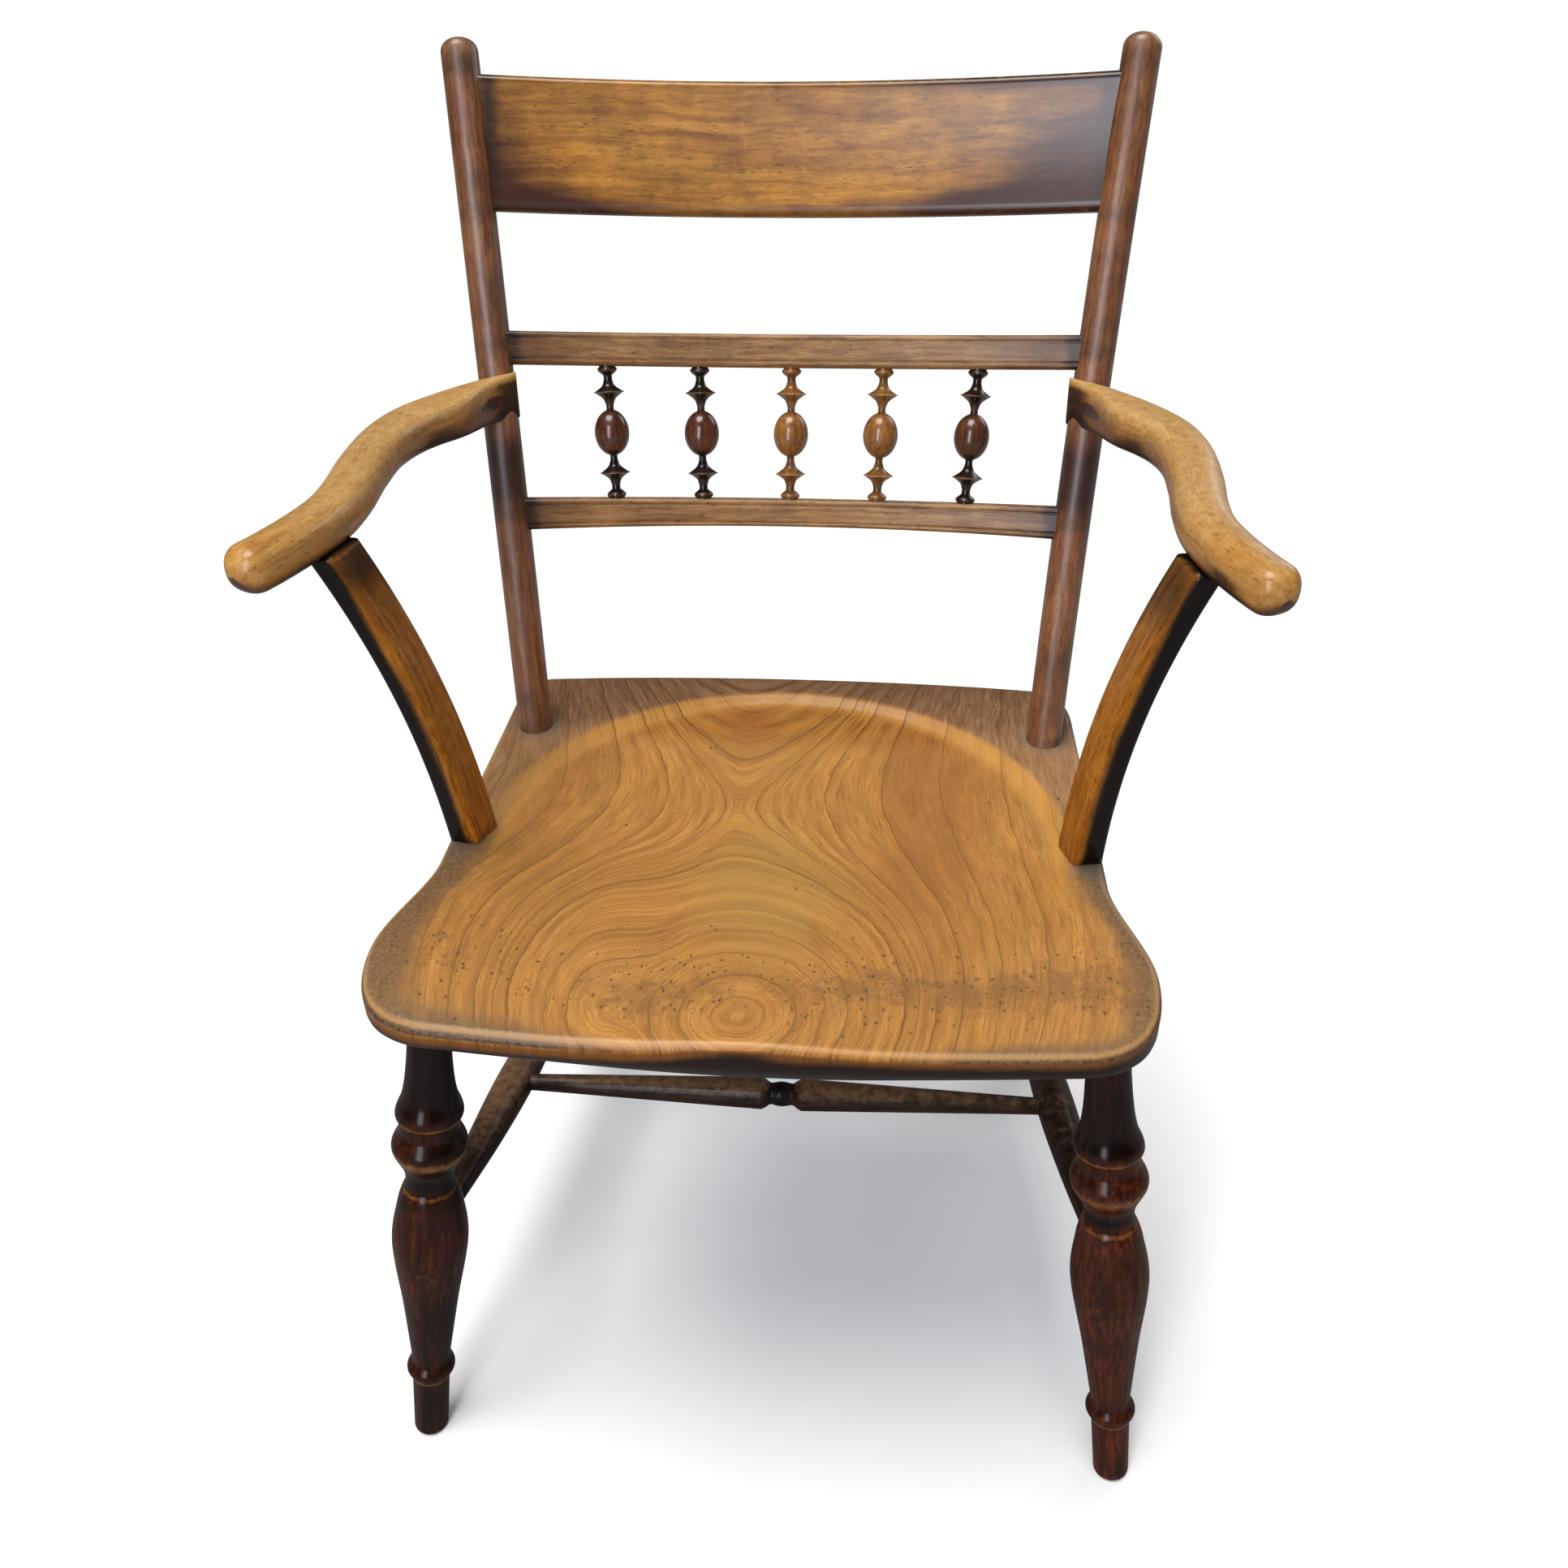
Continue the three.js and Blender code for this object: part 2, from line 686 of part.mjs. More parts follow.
function armCurve(side) {
  const post = postAxis(1, (armMiddle - seatHeight) / backRise);
  const startX = post.x - armInnerEnd;
  const startY = post.y - postRadius - armWidth / 2 + armLap;
  const points = armPlanShares.map(([reachShare, outShare]) => {
    const turnDown = armDrop * Math.max(0, (reachShare - handShare) / (1 - handShare)) ** 2;
    const z = armMiddle + armRise * reachShare - turnDown;
    return new THREE.Vector3(side * (startX + armOutset * outShare), startY - armReach * reachShare, z);
  });
  return new THREE.CatmullRomCurve3(points, false, "centripetal");
}

function armBody(side, grow = 0) {
  const curve = armCurve(side);
  const length = curve.getLength();
  const roundShare = armTipRound / length;
  const stations = evenly(0, 1 - roundShare, armSteps);
  for (const angle of evenly(0, Math.PI / 2, domeSteps).slice(1)) {
    stations.push(1 - roundShare * (1 - Math.sin(angle)));
  }
  const section = (share) => {
    const intoTip = THREE.MathUtils.clamp((share - (1 - roundShare)) / roundShare, 0, 1);
    const shrink = Math.max(tipShare, Math.sqrt(1 - intoTip ** 2));
    const width = THREE.MathUtils.lerp(armWidth, armTipWidth, share ** 2) * shrink + 2 * grow;
    const postEnd = Math.max(0, 1 - share / armPostShare) ** 2;
    const thickness = THREE.MathUtils.lerp(armThickness, armPostThickness, postEnd) * shrink + 2 * grow;
    const ring = softBoxSection(thickness, width, Math.min(armCorner * shrink, width / 2 - weld));
    // The back edge stays, and the front is cut back towards it at the post
    const depthShare = Math.min(1, armEdgeShare + (1 - armEdgeShare) * share * length / armCutRun);
    return ring.map(([upward, across]) =>
      [upward, side * ((side * across + width / 2) * depthShare - width / 2)]);
  };
  return sweep((share) => curve.getPointAt(THREE.MathUtils.clamp(share, 0, 1)), stations, section, up);
}

// A support's axis by its share of the rise from the seat to the middle of the arm
function supportAxis(side, share) {
  const head = armCurve(side).getPointAt(supportArmShare);
  head.x -= side * supportHeadInset;
  const foot = new THREE.Vector3(side * (seatWaistWidth / 2 - supportInset), supportSetback, seatHeight);
  const sweepShare = Math.max(0, share) ** supportCurveShare;
  return foot.clone().lerp(head, share).setX(foot.x + (head.x - foot.x) * sweepShare);
}

function supportBody(side) {
  const stations = evenly(-overrun / armHeight, 1, supportSteps);
  const section = (share) => {
    const width = THREE.MathUtils.lerp(supportFootWidth, supportHeadWidth, share);
    const turn = side * THREE.MathUtils.lerp(supportFootTurn, supportHeadTurn, share);
    return softBoxSection(width, supportDepth, supportCorner).map(([across, back]) => [
      across * Math.cos(turn) - back * Math.sin(turn),
      across * Math.sin(turn) + back * Math.cos(turn),
    ]);
  };
  const headHeight = supportAxis(side, 1).z - armThickness / 2 + supportHeadLap;
  return sweep((share) => supportAxis(side, share), stations, section, sideways)
    .trimByPlane(downwards, -headHeight);
}

// Assembly

const seatCuts = [];
const seatBlank = makeSeatBlank();
const seatTrim = seatBlank.translate([0, 0, clearance]);

for (const [sideName, side] of sides) {
  const frontAxis = legAxis(side, true);
  const rearAxis = legAxis(side, false);
  const [front, rear] = stretcherEnds(
    frontAxis.at(frontStretcherShare), rearAxis.at(rearStretcherShare), stretcherTenonReach);
  const middle = front.clone().lerp(rear, crossPlaceShare);
  const crossFrom = middle.clone().setX(middle.x - side * crossTenonReach);
  const crossMouth = middle.clone().setX(middle.x - side * stretcherMiddleRadius);

  const legs = [
    ["front_leg", frontAxis, socket(rear, front, stretcherEndRadius, turnedSides)],
    ["rear_leg", rearAxis, socket(front, rear, stretcherEndRadius, turnedSides)],
  ];
  for (const [name, axis, stretcherHole] of legs) {
    const { body, place, hole } = legPiece(axis, seatBlank, stretcherHole);
    seatCuts.push(hole);
    addPiece(undercarriage, `${name}_${sideName}`, body, darkLeg, place);
  }

  const place = frameAlong(front, rear);
  const stretcher = sideStretcherTurning(front.distanceTo(rear))
    .transform(place.elements)
    .subtract(socket(crossMouth, crossFrom, crossEndRadius, turnedSides));
  addPiece(undercarriage, `side_stretcher_${sideName}`, stretcher, wornStretcher, place);

  if (side > 0) {
    const crossTo = crossFrom.clone().setX(-crossFrom.x);
    const crossPlace = frameAlong(crossTo, crossFrom);
    const cross = crossStretcherTurning(crossTo.distanceTo(crossFrom)).transform(crossPlace.elements);
    addPiece(undercarriage, "cross_stretcher", cross, wornStretcher, crossPlace);
  }
}

const lowerLine = railLine(lowerRailRise);
const middleLine = railLine(middleRailRise);
const crestLine = railLine(crestRise);
const grownPosts = sides.map(([, side]) => postBody(side, clearance));
const railSize = {
  height: railHeight,
  thickness: railThickness,
  corner: railCorner,
  tenonHeight: railTenonHeight,
  tenonThickness: railTenonThickness,
};
const crestSize = {
  height: crestHeight,
  thickness: crestThickness,
  corner: crestCorner,
  tenonHeight: crestTenonHeight,
  tenonThickness: crestTenonThickness,
};
const lowerRail = railPiece(lowerLine, railSize, grownPosts);
const middleRail = railPiece(middleLine, railSize, grownPosts);
const crest = railPiece(crestLine, crestSize, grownPosts);
let lowerBody = lowerRail.body;
let middleBody = middleRail.body;

for (let i = 0; i < spindleCount; i++) {
  const order = i - (spindleCount - 1) / 2;
  const low = lowerLine.pointAt(order * spindlePitchLow);
  const high = middleLine.pointAt(order * spindlePitchHigh);
  const along = high.clone().sub(low).normalize();
  const from = low.clone().addScaledVector(along, railHeight / 2);
  const to = high.clone().addScaledVector(along, -railHeight / 2);
  const lowEnd = from.clone().addScaledVector(along, -spindleTenonLength);
  const highEnd = to.clone().addScaledVector(along, spindleTenonLength);
  lowerBody = lowerBody.subtract(socket(from, lowEnd, spindleTenonRadius, spindleSides));
  middleBody = middleBody.subtract(socket(to, highEnd, spindleTenonRadius, spindleSides));
  const place = frameAlong(from, to);
  const spindle = spindleTurning(from.distanceTo(to)).transform(place.elements);
  const isGolden = order === 0 || order === 1;
  addPiece(back, `spindle_${i + 1}`, spindle, isGolden ? goldenSpindle : darkSpindle, place);
}
addPiece(back, "lower_rail", lowerBody, railWood);
addPiece(back, "middle_rail", middleBody, railWood);
addPiece(back, "crest_rail", crest.body, railWood);

for (const [sideName, side] of sides) {
  const post = postAxis(side, (armMiddle - seatHeight) / backRise);
  post.x -= side * pegSetIn;
  const pegFront = post.clone().setY(post.y - postRadius - armWidth);
  const pegEnd = post.clone().setY(post.y + postRadius - pegEndGap);
  const pegHole = socket(pegFront, pegEnd, pegRadius, spindleSides);
  const pegRoom = armBody(side, pegProud).add(postBody(side, 0));
  const peg = rod(pegFront, pegEnd, pegRadius, spindleSides).intersect(pegRoom);
  addPiece(armwork, `arm_peg_${sideName}`, peg, darkSpindle);

  const foot = postAxis(side, 0);
  const below = postAxis(side, -postTenonLength / backRise);
  const tenonStart = postAxis(side, overrun / backRise);
  const postHole = socket(foot, below, postTenonRadius, postSides);
  seatCuts.push(postHole);
  const postSolid = postBody(side, 0)
    .subtract(seatTrim)
    .add(rod(tenonStart, below, postTenonRadius, postSides))
    .subtract(lowerRail.mortise)
    .subtract(middleRail.mortise)
    .subtract(crest.mortise)
    .subtract(pegHole);
  addPiece(back, `back_post_${sideName}`, postSolid, postWood);

  const supportFoot = supportAxis(side, 0);
  const supportBelow = supportFoot.clone().setZ(seatHeight - supportTenonLength);
  const supportStart = supportFoot.clone().setZ(seatHeight + overrun);
  const headTop = supportAxis(side, 1);
  const headStart = supportAxis(side, 1 - (armThickness / 2 + overrun) / armHeight);
  const headHole = socket(headStart, headTop, supportTenonRadius, turnedSides);
  seatCuts.push(socket(supportFoot, supportBelow, supportTenonRadius, turnedSides));

  const grownPost = postBody(side, clearance);
  const arm = armBody(side).subtract(grownPost).subtract(pegHole).subtract(headHole);
  addPiece(armwork, `arm_${sideName}`, arm, paleArm);

  const support = supportBody(side)
    .subtract(seatTrim)
    .subtract(seatTrim.translate([side * clearance, 0, 0]))
    .subtract(armBody(side, clearance))
    .add(rod(supportStart, supportBelow, supportTenonRadius, turnedSides))
    .add(rod(headStart, headTop, supportTenonRadius, turnedSides));
  addPiece(armwork, `arm_support_${sideName}`, support, supportWood);
}

const seatBody = seatCuts.reduce((body, cut) => body.subtract(cut), seatBlank);
addPiece(undercarriage, "seat", seatBody, elm);

// The origin is under the middle of the whole chair
const box = new THREE.Box3().setFromObject(chair);
chair.position.y = -(box.min.y + box.max.y) / 2;

export default chair;
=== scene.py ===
"""A country elbow chair: saddled elm seat, turned beech legs, scroll back and shaped arms.

Shapes are worked out in millimetres and turned to metres where each mesh is made.
Left and right are the sitter's, who faces -Y, so left is +X.
"""
import functools
import math

import bpy
import numpy as np
from mathutils import Matrix, Vector


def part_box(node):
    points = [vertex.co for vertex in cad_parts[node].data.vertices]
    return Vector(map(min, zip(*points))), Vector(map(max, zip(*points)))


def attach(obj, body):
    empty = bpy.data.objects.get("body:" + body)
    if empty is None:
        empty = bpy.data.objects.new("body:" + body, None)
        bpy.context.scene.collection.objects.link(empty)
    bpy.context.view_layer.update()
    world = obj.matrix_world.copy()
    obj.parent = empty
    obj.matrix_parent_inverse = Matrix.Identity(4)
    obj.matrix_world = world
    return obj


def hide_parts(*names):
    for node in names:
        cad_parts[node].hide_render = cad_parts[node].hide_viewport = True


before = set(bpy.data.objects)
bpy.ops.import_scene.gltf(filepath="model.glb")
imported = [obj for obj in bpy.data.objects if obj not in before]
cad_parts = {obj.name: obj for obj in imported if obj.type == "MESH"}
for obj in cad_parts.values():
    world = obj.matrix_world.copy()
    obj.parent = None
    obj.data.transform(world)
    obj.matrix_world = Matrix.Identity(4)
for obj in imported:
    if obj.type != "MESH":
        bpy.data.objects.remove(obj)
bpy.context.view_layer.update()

MM = 0.001

# Overall sizes, mm
SEAT_HEIGHT = 445.0
SEAT_WIDTH = 468.0
SEAT_DEPTH = 405.0
SEAT_THICKNESS = 34.0
BACK_RISE = 447.0
BACK_LEAN = 143.0
BACK_FLARE = 36.0
ARM_HEIGHT = 248.0
OVERRUN = 12.0
SEAT_UNDERSIDE = SEAT_HEIGHT - SEAT_THICKNESS
SEAT_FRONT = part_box("seat")[0].y / MM  # the front edge, in the frame

# Seat outline
WAIST_WIDTH = 430.0
REAR_WIDTH = 426.0
FRONT_CORNER_SETBACK = 68.0
FRONT_CORNER_RUN = 44.0
FRONT_EDGE_BOW = 7.0
WAIST_SETBACK = 155.0
REAR_CORNER_SETBACK = 52.0
REAR_CORNER_RUN = 24.0
BACK_EDGE_BOW = 9.0
CORNER_PULL_SHARE = 0.6
SIDE_EASE = 28.0

# Seat edge and saddle
EDGE_ROUND = 6.0
BEVEL_RUN = 7.0
BEVEL_SIDE_RUN = 19.0
BEVEL_RISE = 14.0
RIDGE_HALF_WIDTH = 197.0
RIDGE_SETBACK = 23.0
RIDGE_LENGTH = 185.0
RIDGE_RUN = 13.0
RIDGE_DROP = 6.0
RIDGE_FADE = (105.0, 200.0)  # from the front edge: no ridge before the first, a full one after the second
BOWL_DROP = 7.0
FRONT_FALL = 9.0
FRONT_FALL_RUN = 95.0
POMMEL_RISE = 5.5
POMMEL_HALF_WIDTH = 60.0

# Elm figure, mm in the frame: ovals round two hearts, one under the front edge and one behind
FRONT_HEART, BACK_HEART = (-7.0, -215.0), (-30.0, 220.0)
RINGS_INSIDE, RINGS_OUTSIDE = 10.0, 15.0
RING_SADDLE_EASE = 0.03
FLANK_SWING = 36.0
FLANK_FORWARDS, FLANK_OUTWARDS = (-30.0, 140.0), (50.0, 110.0)  # where the swing grows from none to full
VEE_POWER = 1.45  # 2 gives round ovals behind, and less gives pointed ones
LEAST_PACE = 0.012  # growth lines per mm
# How dark each growth line is, from the line numbered -10 outwards
FIRST_LINE = -10
LINE_SHARES = (0.2, 0.4, 0.65, 0.45, 0.6, 0.4, 0.1, 0.15, 0.85, 0.12, 0.08, 0.6, 0.12, 0.35, 0.1,
               0.7, 0.15, 0.1, 0.75, 0.12, 0.2, 0.5, 0.1, 0.15, 0.55, 0.1, 0.3, 0.1, 0.4, 0.15)

# Wear of the seat, mm. Patches have a strength, a place in the frame and half sizes
SEAT_PATCHES = {
    "olive": [(0.9, (0, -90), (55, 85)), (0.5, (-20, 70), (50, 45))],
    "ruddy": [(0.75, (105, 0), (45, 190)), (0.6, (-30, 95), (40, 50)), (0.5, (-150, 60), (40, 60)),
              (0.4, (-165, -40), (25, 70))],
    "patina": [(0.75, (-222, -165), (26, 42)), (0.55, (222, -165), (28, 38)), (0.55, (-205, -80), (22, 50)),
               (0.5, (207, -80), (22, 50)), (0.35, (0, -196), (230, 14))],
    "pitted": [(0.75, (-68, -204), (42, 18)), (0.7, (118, -188), (60, 20)), (0.6, (200, -176), (45, 32)),
               (0.5, (-190, -165), (45, 35)), (0.4, (30, -192), (60, 24)), (0.4, (0, -180), (240, 30))],
}
PATINA_REACH_RIGHT, PATINA_REACH_LEFT = 40.0, 26.0  # in from the edge, at the sitter's right and left
PATINA_GROWS, PATINA_WIDENS = (30.0, 150.0), (60.0, 200.0)  # between these distances from the middle
# The edge darkens sooner between these on the left, and in the middle: strength, middle and half width
EARLY_DARK_LEFT, EARLY_DARK_MIDDLE = (10.0, 60.0), (0.2, -5.0, 30.0)
# Dust round a post and round a support: strength, middle outwards and back from the foot, half size
POST_DUST, SUPPORT_DUST = (1.0, 0.0, 0.0, 26.0), (0.9, 6.0, -16.0, 22.0)

# Legs
FRONT_LEG = {"top_x": SEAT_WIDTH / 2 - 22, "top_y": 102.0, "splay": 41.0, "rake": -67.0}
REAR_LEG = {"top_x": REAR_WIDTH / 2 - 58, "top_y": SEAT_DEPTH - 93, "splay": 66.0, "rake": 135.0}
LEG_FOOT, LEG_FOOT_TOP, LEG_ANKLE, LEG_SHIN = 12.4, 13.4, 17.4, 13.6
LEG_BULB, LEG_NECK, LEG_SHOULDER, LEG_RING = 26.2, 16.6, 18.8, 25.6
LEG_NOTCH, LEG_CUP, LEG_CUP_TOP = 20.5, 22.8, 22.0
LEG_THIGH_LOW, LEG_THIGH, LEG_THIGH_TOP, LEG_TOP = 18.0, 15.4, 14.0, 13.5
LEG_FOOT_EASE = 1.2
LEG_CALF_SHARE = 0.46
# Rubbed places: strength, middle and half width in shares of the leg's length
LEG_RUBBED_SHARES = ((0.75, 0.628, 0.014), (0.7, 0.697, 0.006), (0.6, 0.552, 0.005), (0.8, 0.128, 0.006),
                     (0.35, 0.4, 0.09))
LEG_BULB_DARK = {"left": 0.1, "right": 0.6}

# Stretchers
STRETCHER_END, STRETCHER_MIDDLE = 8.0, 15.0
STRETCHER_SWELL_SHARE = 0.68
FRONT_STRETCHER_SHARE, REAR_STRETCHER_SHARE = 0.435, 0.34
STRETCHER_DARK_END = (30.0, 64.0)
CROSS_END, CROSS_SWELL, CROSS_NECK, CROSS_BEAD = 7.0, 12.2, 8.2, 9.8
CROSS_BEAD_HALF_WIDTH, CROSS_SHOULDER_RUN, CROSS_SWELL_SETBACK, CROSS_END_SETBACK = 9.0, 6.6, 32.0, 6.0

# Back
POST_RADIUS = 12.4
POST_INSET = 24.5
POST_SET_IN = 84.0
POST_DOME = 9.0
DOME_TRIM_SHARE = 0.97
LEAN_START_SHARE = 0.6
FLARE_START_SHARE = 0.55
LOWER_RAIL_RISE, MIDDLE_RAIL_RISE, CREST_RISE = 154.5, 263.0, 386.5
RAIL_HEIGHT, RAIL_THICKNESS, RAIL_CORNER = 22.4, 14.0, 3.0
CREST_HEIGHT, CREST_THICKNESS, CREST_CORNER = 86.0, 13.0, 5.0
RAIL_BOW = 22.0
GROOVE_INSET, GROOVE_WIDTH, GROOVE_DEPTH = 4.2, 0.9, 0.6
CREST_HOLLOW = 2.0
LOWER_RAIL_ARCH_SHARE = 0.28
# Wear of a post by its rise from the seat: strength, middle and half width
POST_RUBBED, POST_DARK = ((0.3, 110.0, 60.0), (0.28, 310.0, 50.0)), (0.9, ARM_HEIGHT - 65, 26.0)
POST_RUBBED_TOP, JOINT_GRIME_HALF_WIDTH, RAIL_GRIME_HALF_WIDTH = 40.0, 10.0, 9.0
# Stain of the rails by the distance from the middle: none before the first, full after the second
CREST_RIGHT_STAIN, CREST_LEFT_STAIN, CREST_TOP_STAIN = (120.0, 215.0), (30.0, 200.0), (-60.0, 60.0)
CREST_STAIN_MIDDLE, CREST_STAIN_REACH, CREST_STAIN_EASE = -15.0, 180.0, 80.0
RAIL_STAIN = (80.0, 195.0)

# Spindles
SPINDLE_COUNT = 5
SPINDLE_PITCH_LOW, SPINDLE_PITCH_HIGH = 61.5, 64.8
SPINDLE_COLLAR, SPINDLE_NECK, SPINDLE_WAIST, SPINDLE_DISC, SPINDLE_BEAD = 6.6, 3.0, 2.6, 11.0, 12.2
SPINDLE_SLOPE, SPINDLE_RIM, SPINDLE_BACK_SLOPE = 4.6, 8.8, 4.4
SPINDLE_TENON, SPINDLE_TENON_RADIUS = 4.0, SPINDLE_COLLAR - 1
SPINDLE_OVAL_SHARE = 0.178
SPINDLE_GAP = 0.9
GOLDEN_SPINDLES = (3, 4)  # counted from the sitter's right

# Arms
ARM_REACH, ARM_OUTSET, ARM_INNER_END, ARM_LAP = 290.0, 69.0, 9.0, 6.0
ARM_WIDTH, ARM_THICKNESS, ARM_POST_THICKNESS = 33.0, 27.0, 32.0
ARM_MIDDLE = SEAT_HEIGHT + ARM_HEIGHT - ARM_THICKNESS / 2
ARM_POST_SHARE = 0.25
ARM_TIP_WIDTH, ARM_RISE, ARM_DROP, ARM_TIP_ROUND = 27.0, 9.0, 3.0, 13.0
HAND_SHARE = 0.75
ARM_CUT_RUN = 50.0  # length of the slanting cut at the post
CUT_EASE_SHARE = 0.3  # of that length, before and after its end: rounds the cut into the arm
ARM_EDGE_SHARE = 0.08
ARM_TRIM_SHARE = 0.985
ARM_PLAN_SHARES = np.array([
    [-0.02, -0.175], [0, 0], [0.03, 0.17], [0.1, 0.43], [0.21, 0.67], [0.33, 0.76], [0.485, 0.74],
    [0.63, 0.68], [0.74, 0.67], [0.84, 0.74], [0.93, 0.86], [1, 1],
])
# The arm bends in over the support's head: by how much, and its middle and half width as shares
ARM_BEND_IN, ARM_BEND_SHARES = 2.5, (0.76, 0.3)
# Stains by the distance from the post: full before the first and none after the second
CUT_STAIN, CUT_SHADE = (9.0, 24.0), (30.0, 70.0)
ARM_CHIPS = (0.75, 80.0, 26.0)  # strength, middle and half width
HAND_BLOTCH = {"left": 0.95, "right": 0.45}
HAND_BLOTCH_SHARES = (0.9, 0.055)

# Arm supports
SUPPORT_FOOT, SUPPORT_HEAD = np.array([21.0, 30.0]), np.array([16.0, 30.0])
SUPPORT_FOOT_TURN, SUPPORT_HEAD_TURN = 0.22, 0.08  # inner face turned forwards, radians
SUPPORT_CORNER, SUPPORT_INSET, SUPPORT_SETBACK = 4.0, 14.0, 187.0
SUPPORT_ARM_SHARE, SUPPORT_HEAD_INSET, SUPPORT_CURVE_POWER = 0.82, 6.0, 2.37
SUPPORT_HEAD_LAP = 3.0  # rise past the arm's underside
# Wear by the rise from the seat: middle and half width, and before them the strength if it isn't full
SUPPORT_HEAD_DARK = {"left": (ARM_HEIGHT - 12, 40.0), "right": (ARM_HEIGHT - 12, 26.0)}
SUPPORT_FOOT_DARK, SUPPORT_RUBBED = (0.8, 0.0, 12.0), (0.25, 110.0, 60.0)

# Pegs in the arms: radius, how proud of the arm, and heights at which the dome turns
PEG_RADIUS, PEG_PROUD = 5.2, 0.5
PEG_DOME_RISE, PEG_DOME_END = 0.35, 0.8

# Lamps: metres, watts and sRGB
KEY_TOWARD, KEY_STRENGTH, KEY_ANGLE = (0.18, 0.09, -0.98), 2.35, math.radians(36)
AREA_LAMPS = {  # place, target, size, power and colour
    "window": ((-0.62, -2.05, 1.35), (0.0, 0.15, 0.75), (0.6, 1.8), 24, "#f3f6ff"),
    "high_window": ((-0.75, -2.2, 2.6), (0.15, 0.2, 0.75), (0.8, 0.5), 9, "#eef3ff"),
    "back_window": ((1.4, 1.5, 1.5), (0.0, 0.0, 0.5), (1.2, 1.0), 7, "#f4f8ff"),
}
GLOSSY_SHARE = 0.03  # of white, what the chair's gloss mirrors
SURROUND = 0.27  # strength of the surround on the chair
PAPER_GLOW = 0.04  # of white, so that the paper round the shadow clears to white
FLOOR_REACH = 30.0

# The photograph's camera, solved from the chair's mirrored pairs of points
PHOTO_SIDE = 1932  # pixels, both ways
FOCAL_PIXELS = 1695.0
AXIS_PIXEL = (953.5, 931.6)
CAMERA_PLACE = (0.0655, -0.7828, 0.984)  # metres
CAMERA_YAW, CAMERA_PITCH, CAMERA_ROLL = (math.radians(angle) for angle in (-4.96, 32.85, -0.97))

UP = np.array([0.0, 0.0, 1.0])
SIDEWAYS = np.array([1.0, 0.0, 0.0])
SIDES = (("left", 1), ("right", -1))


# Curves

def unit(vectors):
    return vectors / np.linalg.norm(vectors, axis=-1, keepdims=True)


def lerp(first, last, share):
    return first + (last - first) * share


def smoothstep(low, high, value):
    share = np.clip((value - low) / (high - low), 0, 1)
    return share * share * (3 - 2 * share)


def bell(value, middle, half_width):
    """Gauss's curve: 1 in the middle and a bit over a third at the half width."""
    return np.exp(-(((value - middle) / half_width) ** 2))


def bells(value, *rows):
    """The sum of bell curves, each a strength, a middle and a half width."""
    return sum(strength * bell(value, middle, half_width) for strength, middle, half_width in rows)


def blob(x, y, place, size):
    """A soft oval patch, 1 in its middle, with those half sizes."""
    return bell(x, place[0], size[0]) * bell(y, place[1], size[1])


def read_at(places, knots, table):
    """Each column of the table, whose rows are given at the knots, read at the places."""
    return np.stack([np.interp(places, knots, column) for column in table.T], axis=-1)


def lengths_along(points):
    return np.concatenate([[0], np.cumsum(np.linalg.norm(np.diff(points, axis=0), axis=1))])


def evenly_along(points, count):
    """The polyline through points, met again at count places evenly spaced along its length."""
    lengths = lengths_along(points)
    return read_at(np.linspace(0, lengths[-1], count), lengths, points)


def catmull_rom(points, power=0.0, steps=24):
    """A curve through the points; a knot's length is the chord to the power (0 even, 0.5 centripetal)."""
    points = np.asarray(points, float)
    t = np.linspace(0, 1, steps)[:, None]
    if len(points) == 2:
        return lerp(*points, t)
    padded = np.concatenate([[2 * points[0] - points[1]], points, [2 * points[-1] - points[-2]]])
    knots = np.linalg.norm(np.diff(padded, axis=0), axis=1) ** power
    runs = []
    for i in range(len(points) - 1):
        p0, p1, p2, p3 = padded[i:i + 4]
        d0, d1, d2 = knots[i:i + 3]
        m1 = d1 * ((p1 - p0) / d0 - (p2 - p0) / (d0 + d1) + (p2 - p1) / d1)
        m2 = d1 * ((p2 - p1) / d1 - (p3 - p1) / (d1 + d2) + (p3 - p2) / d2)
        run = (2 * t**3 - 3 * t**2 + 1) * p1 + (t**3 - 2 * t**2 + t) * m1
        runs.append(run + (3 * t**2 - 2 * t**3) * p2 + (t**3 - t**2) * m2)
    return np.concatenate(runs)


def bezier(corners, steps=40):
    """A Bezier curve of any degree, by de Casteljau's steps between its corner points."""
    t = np.linspace(0, 1, steps)[:, None]
    layer = [np.asarray(corner, float) for corner in corners]
    while len(layer) > 1:
        layer = [lerp(a, b, t) for a, b in zip(layer, layer[1:])]
    return layer[0]


# Sections, anticlockwise, as [across, other]

def round_section(count):
    angle = np.arange(count) / count * 2 * math.pi
    return np.stack([np.cos(angle), np.sin(angle)], axis=1)


def box_section(width, height, corner, count):
    """A rectangle with its corners rounded to the radius corner, as count points evenly spaced."""
    quarters = []
    for quarter, (sign_x, sign_y) in enumerate([(1, 1), (-1, 1), (-1, -1), (1, -1)]):
        angle = (quarter + np.linspace(0, 1, 9)) * math.pi / 2
        x = sign_x * (width / 2 - corner) + corner * np.cos(angle)
        y = sign_y * (height / 2 - corner) + corner * np.sin(angle)
        quarters.append(np.stack([x, y], axis=1))
    ring = np.concatenate(quarters)
    return evenly_along(np.concatenate([ring, ring[:1]]), count + 1)[:-1]


def cushion_section(power, count):
    """A superellipse 1 wide and high: |2x|^p + |2y|^p = 1, rounder for a lower power."""
    angle = np.linspace(0, 2 * math.pi, 8 * count)
    x = np.sign(np.cos(angle)) * np.abs(np.cos(angle)) ** (2 / power) / 2
    y = np.sign(np.sin(angle)) * np.abs(np.sin(angle)) ** (2 / power) / 2
    return evenly_along(np.stack([x, y], axis=1), count + 1)[:-1]


